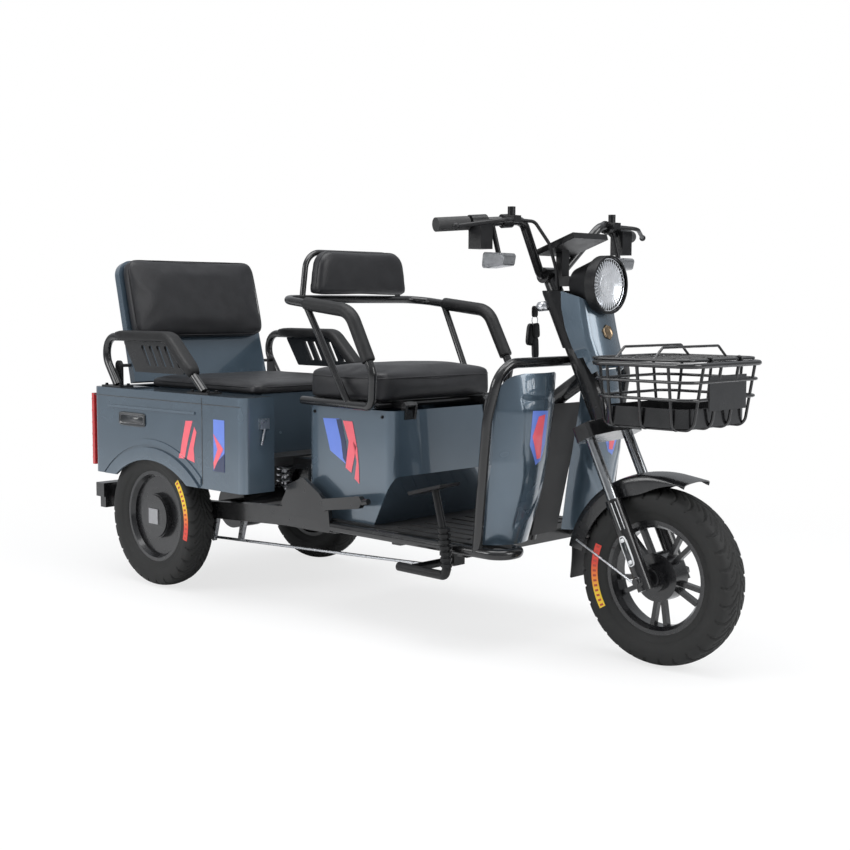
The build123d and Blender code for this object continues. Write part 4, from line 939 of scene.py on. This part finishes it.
# ---- stickers
# Each motif: its name, its colour, its lift off the surface, and its left and right edges as (x, z).
PANEL_MOTIFS = (
    ("side_leaf_a", "coral", 0.4, [(196, 498), (178, 440), (166, 392)], [(228, 500), (205, 440), (190, 392)]),
    ("side_leaf_b", "coral", 0.4, [(236, 484), (214, 430), (200, 392)], [(246, 470), (232, 424), (236, 384)]),
    ("door_field", "blue", 0.4, [(322, 510), (322, 369)], [(371, 510), (371, 369)]),
    ("door_wave", "coral", 0.8, [(322, 470), (340, 430), (322, 392)], [(322, 471), (366, 432), (324, 372)]),
    ("door_base", "navy", 1.1, [(340, 396), (322, 369)], [(371, 420), (371, 369)]))
BOX_MOTIFS = (
    ("box_field", "blue", 0.4, [(612, 524), (628, 478), (640, 440)], [(676, 526), (690, 470), (700, 410)]),
    ("box_curve", "navy", 0.7, [(664, 524), (682, 470), (690, 424)], [(682, 526), (700, 468), (708, 404)]),
    ("box_leaf_a", "coral", 1, [(690, 522), (712, 470), (700, 400)], [(726, 522), (742, 462), (722, 388)]),
    ("box_leaf_b", "coral", 1, [(728, 470), (742, 420), (734, 374)], [(744, 456), (750, 410), (752, 362)]))
# On the leg shields the edges are (distance from the middle plane, height).
SHIELD_MOTIFS = (
    ("shield_field", "blue", 0.5, [(168, 580), (172, 500), (150, 452)], [(112, 578), (116, 500), (132, 462)]),
    ("shield_wave", "coral", 1, [(150, 566), (166, 520), (148, 466)], [(126, 570), (132, 520), (134, 468)]))


def along_line(points, share):
    """The point a share of the way along a row of points."""
    lengths = [(b - a).length for a, b in zip(points, points[1:])]
    left = share * sum(lengths)
    for a, b, length in zip(points, points[1:], lengths):
        if left <= length or b is points[-1]:
            return a.lerp(b, min(1, left / max(length, 1e-9)))
        left -= length


def sticker(name, target, left, right, way, colour, lift, rows=26, columns=12):
    """A printed foil laid on a surface between two edge lines, cast onto it along a direction."""
    tree, matrix, reach = tree_of(target), target.matrix_world, 0.2
    back = matrix.inverted()
    way = Vector(way)
    local_way = (back.to_3x3() @ way).normalized()
    verts = []
    for i in range(rows + 1):
        a, b = along_line(left, i / rows), along_line(right, i / rows)
        for j in range(columns + 1):
            point = a.lerp(b, j / columns)
            hit = tree.ray_cast(back @ (point - way * reach), local_way)[0]
            spot = matrix @ hit if hit is not None else point
            verts.append(spot - way * (lift * MM))
    add_piece(name, verts, grid_faces(rows + 1, columns + 1), "decal_" + colour, "chassis")


def make_stickers():
    """Plain two-colour motifs on the sides, the seat box and the leg shields."""
    panel_y, box_y, shield_x = 356, 215, 1300
    for side, tag in SIDES:
        for target, depth, motifs in ((NODES["side_panel_" + tag], side * panel_y, PANEL_MOTIFS),
                                      (NODES["seat_box"], side * box_y, BOX_MOTIFS)):
            for name, colour, lift, *edges in motifs:
                left, right = ([at(x, depth, z) for x, z in edge] for edge in edges)
                sticker("%s_%s" % (name, tag), target, left, right, (0, -side, 0), colour, lift, 64, 24)
        for name, colour, lift, *edges in SHIELD_MOTIFS:
            left, right = ([at(shield_x, side * y, z) for y, z in edge] for edge in edges)
            shield = bpy.data.objects["leg_shield_" + tag]
            sticker("%s_%s" % (name, tag), shield, left, right, (-1, 0, 0), colour, lift)


# ---- lamp, small parts and keys
def make_lamp():
    """Reflector with radial fins and a centre dome behind the headlamp's glass."""
    paint(NODES["headlamp_lens"].data, "lamp_glass")
    centre, ahead = at(1378, 0, LAMP_Z), (1, 0, 0)
    ring = [(-8.6, 62.4), (-6.4, 62), (-6.4, 60), (-8.4, 58.6)]
    bowl = [(-11.6, 60), (-10.2, 59.6), (-13.4, 44), (-15.6, 30), (-17, 20)]
    inner = [(-16.5, 30.5), (-8.6, 30.2), (-8, 29.2), (-8.6, 28), (-15.5, 26)]
    dome = [(-18, 20), (-13.5, 19.4), (-10.2, 16), (-8.4, 10.5), (-7.6, 4.5), (-7.4, 1)]
    turned("lamp_bowl", bowl, centre, ahead, "mirror_dark", "steering", 96)
    for name, profile, sides in (("reflector", ring, 96), ("inner_ring", inner, 72), ("dome", dome, 48)):
        turned("lamp_" + name, profile, centre, ahead, "chrome", "steering", sides)
    verts, faces, fin_height = [], [], 3.0
    for c, s in circle(40):
        out, along = Vector((0, c, s)), Vector((0, -s, c))
        a = len(verts)
        for radius, depth, half in ((58.8, -6.2, 1.2), (29, -9.5, 0.6)):
            spot = centre + out * (radius * MM)
            for step in (-1, 1):
                verts.append(spot + along * (step * half * MM) + Vector((depth * MM, 0, 0)))
                foot = Vector(((depth - fin_height) * MM, 0, 0))
                verts.append(spot + along * (step * half * 1.5 * MM) + foot)
        faces += [(a, a + 2, a + 6, a + 4), (a + 1, a, a + 4, a + 5), (a + 2, a + 3, a + 7, a + 6),
                  (a, a + 1, a + 3, a + 2), (a + 4, a + 6, a + 7, a + 5)]
    add_piece("lamp_fins", verts, faces, "chrome", "steering", smooth=False)


def make_badge():
    """Hexagon badge on the cowl's nose, level with it and lifted off it."""
    lift = 1.6
    low, high = (steered(along, 0, between(COWL, along)[2]) for along in (556, 586))
    facing = Vector((0, 1, 0)).cross(high - low).normalized()
    place = (low + high) / 2 + facing * (lift * MM)
    badge = [(-6, 18.5), (0.8, 18.5), (2.2, 17), (1.4, 15.4), (0.6, 14.8), (0.8, 7), (1.8, 1)]
    turned("cowl_badge", badge, place, facing, "bronze", "steering", 6)


def make_nuts_and_bolts():
    """Front axle's nuts and hub seals, and the bolts of the rear armrests' feet and of the seat box."""
    nut = [(-0.5, 14), (2, 14), (2.6, 12.6), (2.6, 11.6), (9, 11.6), (10.2, 10.2), (10.2, 7.4)]
    seal = [(-0.5, 21), (4, 21), (6, 18.5), (6, 12)]
    nut_y, seal_y, foot_y, box_y = 92, 38, 314, 215
    for side, tag in SIDES:
        way = (0, side, 0)
        turned("axle_nut_" + tag, nut, at(FRONT_X, side * nut_y, HUB_Z), way,
               "black_tube", "steering", 6)
        turned("hub_seal_" + tag, seal, at(FRONT_X, side * seal_y, HUB_Z), way,
               "black_plastic", "front_wheel", 48)
        bolts("armrest_bolts_" + tag,
              [(at(x + dx, side * (foot_y + dy), 578), (0, 0, 1), 4.6)
               for x in (-202, 228) for dx, dy in ((-36, 14), (36, 14), (-36, -14), (36, -14))])
        bolts("box_bolts_" + tag,
              [(at(x, side * box_y, z), way, 3.4) for x, z in ((580, 296), (580, 540), (836, 540))])


def make_plates():
    """Blank name plate in a frame on the right side, the dark seams of the side panels, and a dark line of
    painted shade along their crease.
    """
    wall_y, ahead, up = 355, (1, 0, 0), (0, 0, 1)
    centre = at(-64, -wall_y, 486)
    rim = [(-1, 0), (3, 0), (3.8, 0.8), (3.8, 3), (2.2, 4)]
    for name, half_w, half_h, levels, material in (
            ("name_plate", 66, 20, rim, "decal_dark"),
            ("name_plate_line", 58, 12.5, [(1.8, 0), (2.7, 0)], "hub_grey"),
            ("name_plate_face", 57, 11.5, [(2.2, 0), (3.1, 0)], "decal_dark")):
        rounded_plate(name, centre, ahead, up, half_w, half_h, levels, material, "chassis")
    for side, tag in SIDES:
        # The crease line is a dark strip of painted shade along the crease near the side panels' top.
        for name, x, z, half_w, half_h in (("seam", 271, 446, 1.5, 120), ("painted_shade_crease", 86, 549, 352, 1.1)):
            rounded_plate("side_%s_%s" % (name, tag), at(x, side * wall_y, z), (-side, 0, 0), up, half_w,
                          half_h, [(-0.6, 0), (0.5, 0)], "decal_dark", "chassis")


def make_fork_marks():
    """Thin pale lines on the lower fork legs, and dark reflector plates with pale edges at their feet."""
    leg_radius, plate_y = 18.9, 92.6
    for side, tag in SIDES:
        for index, turn in enumerate((0.25, 0.75)):
            aside, ahead = side * (LEG_Y + leg_radius * cos(turn)), leg_radius * sin(turn)
            points = [steered(along, aside, ahead) for along in (122, 144, 166, 188)]
            tube("fork_line_%s_%d" % (tag, index), points, 0.0009, "white_mark", "steering")
        top, foot = at(1486, side * plate_y, 303), at(1517.8, side * plate_y, 238)
        down = (foot - top).normalized()
        across = down.cross(Vector((0, 1, 0)))
        for part, half_w, half_h, thick, material, shift in (
                ("edge", 9.5, 36, 1.4, "white_mark", 0), ("face", 7, 33.5, 2, "decal_dark", 0),
                ("end", 5, 4.5, 2.6, "white_mark", -26), ("end", 5, 4.5, 2.6, "white_mark", 26)):
            centre = (top + foot) / 2 + down * (shift * MM)
            levels = [(side * -1.5, 0), (side * thick, 0)]
            rounded_plate("fork_plate_%s_%s_%d" % (tag, part, shift + 30), centre, across, down,
                          half_w, half_h, levels, material, "steering", 4, 40, back=False)


def make_keys():
    """Ignition key with a ring, a tag, a remote and a fob."""
    lock = lock_place() + Vector((-36, 0, -4)) * MM

    def below(drop, aside=0, back=0):
        return lock + Vector((-back, aside, -drop)) * MM

    turned("key_shank", [(-1, 3.2), (14, 3.2), (14.6, 2.6)], lock, (1, 0, 0), "steel", "steering", 20)
    bow = soft_block("key_bow", below(10, 0, 1), (3.2, 10.5, 14), "black_plastic")
    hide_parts("key_set")
    ring = [below(31 - 11 * c, 11 * s, 1) for c, s in circle(36)]
    tube("key_ring", ring, 0.0011, "steel", "steering", closed=True)
    soft_block("key_tag", below(56, 4, 0), (3.6, 12, 18), "black_plastic", 5, 0.1)
    soft_block("key_remote", below(66, -9, 6), (6, 14, 27), "black_plastic", 4, -0.14)
    soft_block("key_fob", below(98, 5, 3), (4.6, 10.5, 26), "seat_black", 5, 0.05)


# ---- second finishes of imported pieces
def second_finish(node_name, material, choose):
    """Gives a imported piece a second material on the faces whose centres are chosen."""
    obj = NODES[node_name]
    obj.data.materials.append(MATERIALS[material])
    index = len(obj.data.materials) - 1
    for face in obj.data.polygons:
        if choose(*in_millimetres(obj.matrix_world @ face.center)):
            face.material_index = index


def on_stanchion(x, y, z):
    foot, top, radius = 195.5, 344, 13.5
    along = (FRONT_X - x) * sin(RAKE) + (z - HUB_Z) * cos(RAKE)
    return foot < along < top and abs(abs(y) - LEG_Y) < radius


# The rear body's inside faces, which the black deck finish darkens as painted shade.
def painted_shade_inside_rear_body(x, y, z):
    return 249 < abs(y) < 353 and z < 548 and -245 < x < 425


def make_second_finishes():
    """Bright stanchions, dark lamp housings and hinge lugs, grey hubs, and painted shade on the side panels'
    inside faces.
    """
    second_finish("fork", "fork_chrome", on_stanchion)
    second_finish("turn_signals", "black_plastic", lambda x, y, z: z > 940 or abs(abs(y) - 231) > 20.5)
    second_finish("seat_box", "black_tube", lambda x, y, z: z > 531 and x > 855 and 128 < abs(y) < 172)
    for side, tag in SIDES:
        second_finish("rear_wheel_" + tag, "hub_grey",
                      lambda x, y, z: abs(x) < 23 and abs(z - HUB_Z) < 23 and side * y > 329.8)
        # painted shade: the side panels' inside faces take the black deck finish
        second_finish("side_panel_" + tag, "deck_black", painted_shade_inside_rear_body)


paints_and_metals()
plastics_and_rubbers()
lenses()
printed_foils()
studio()
for part in frame["record"]["subparts"]:
    paint(NODES[part["node"]].data, part["material_slot"])

make_cushions()
make_driver_arm_foam()
make_rear_arm_foam()
make_cowl()
make_lock_cover()
make_leg_shields()
make_fender()
make_tyres()
make_stickers()
make_lamp()
make_badge()
make_nuts_and_bolts()
make_plates()
make_fork_marks()
make_keys()
make_second_finishes()
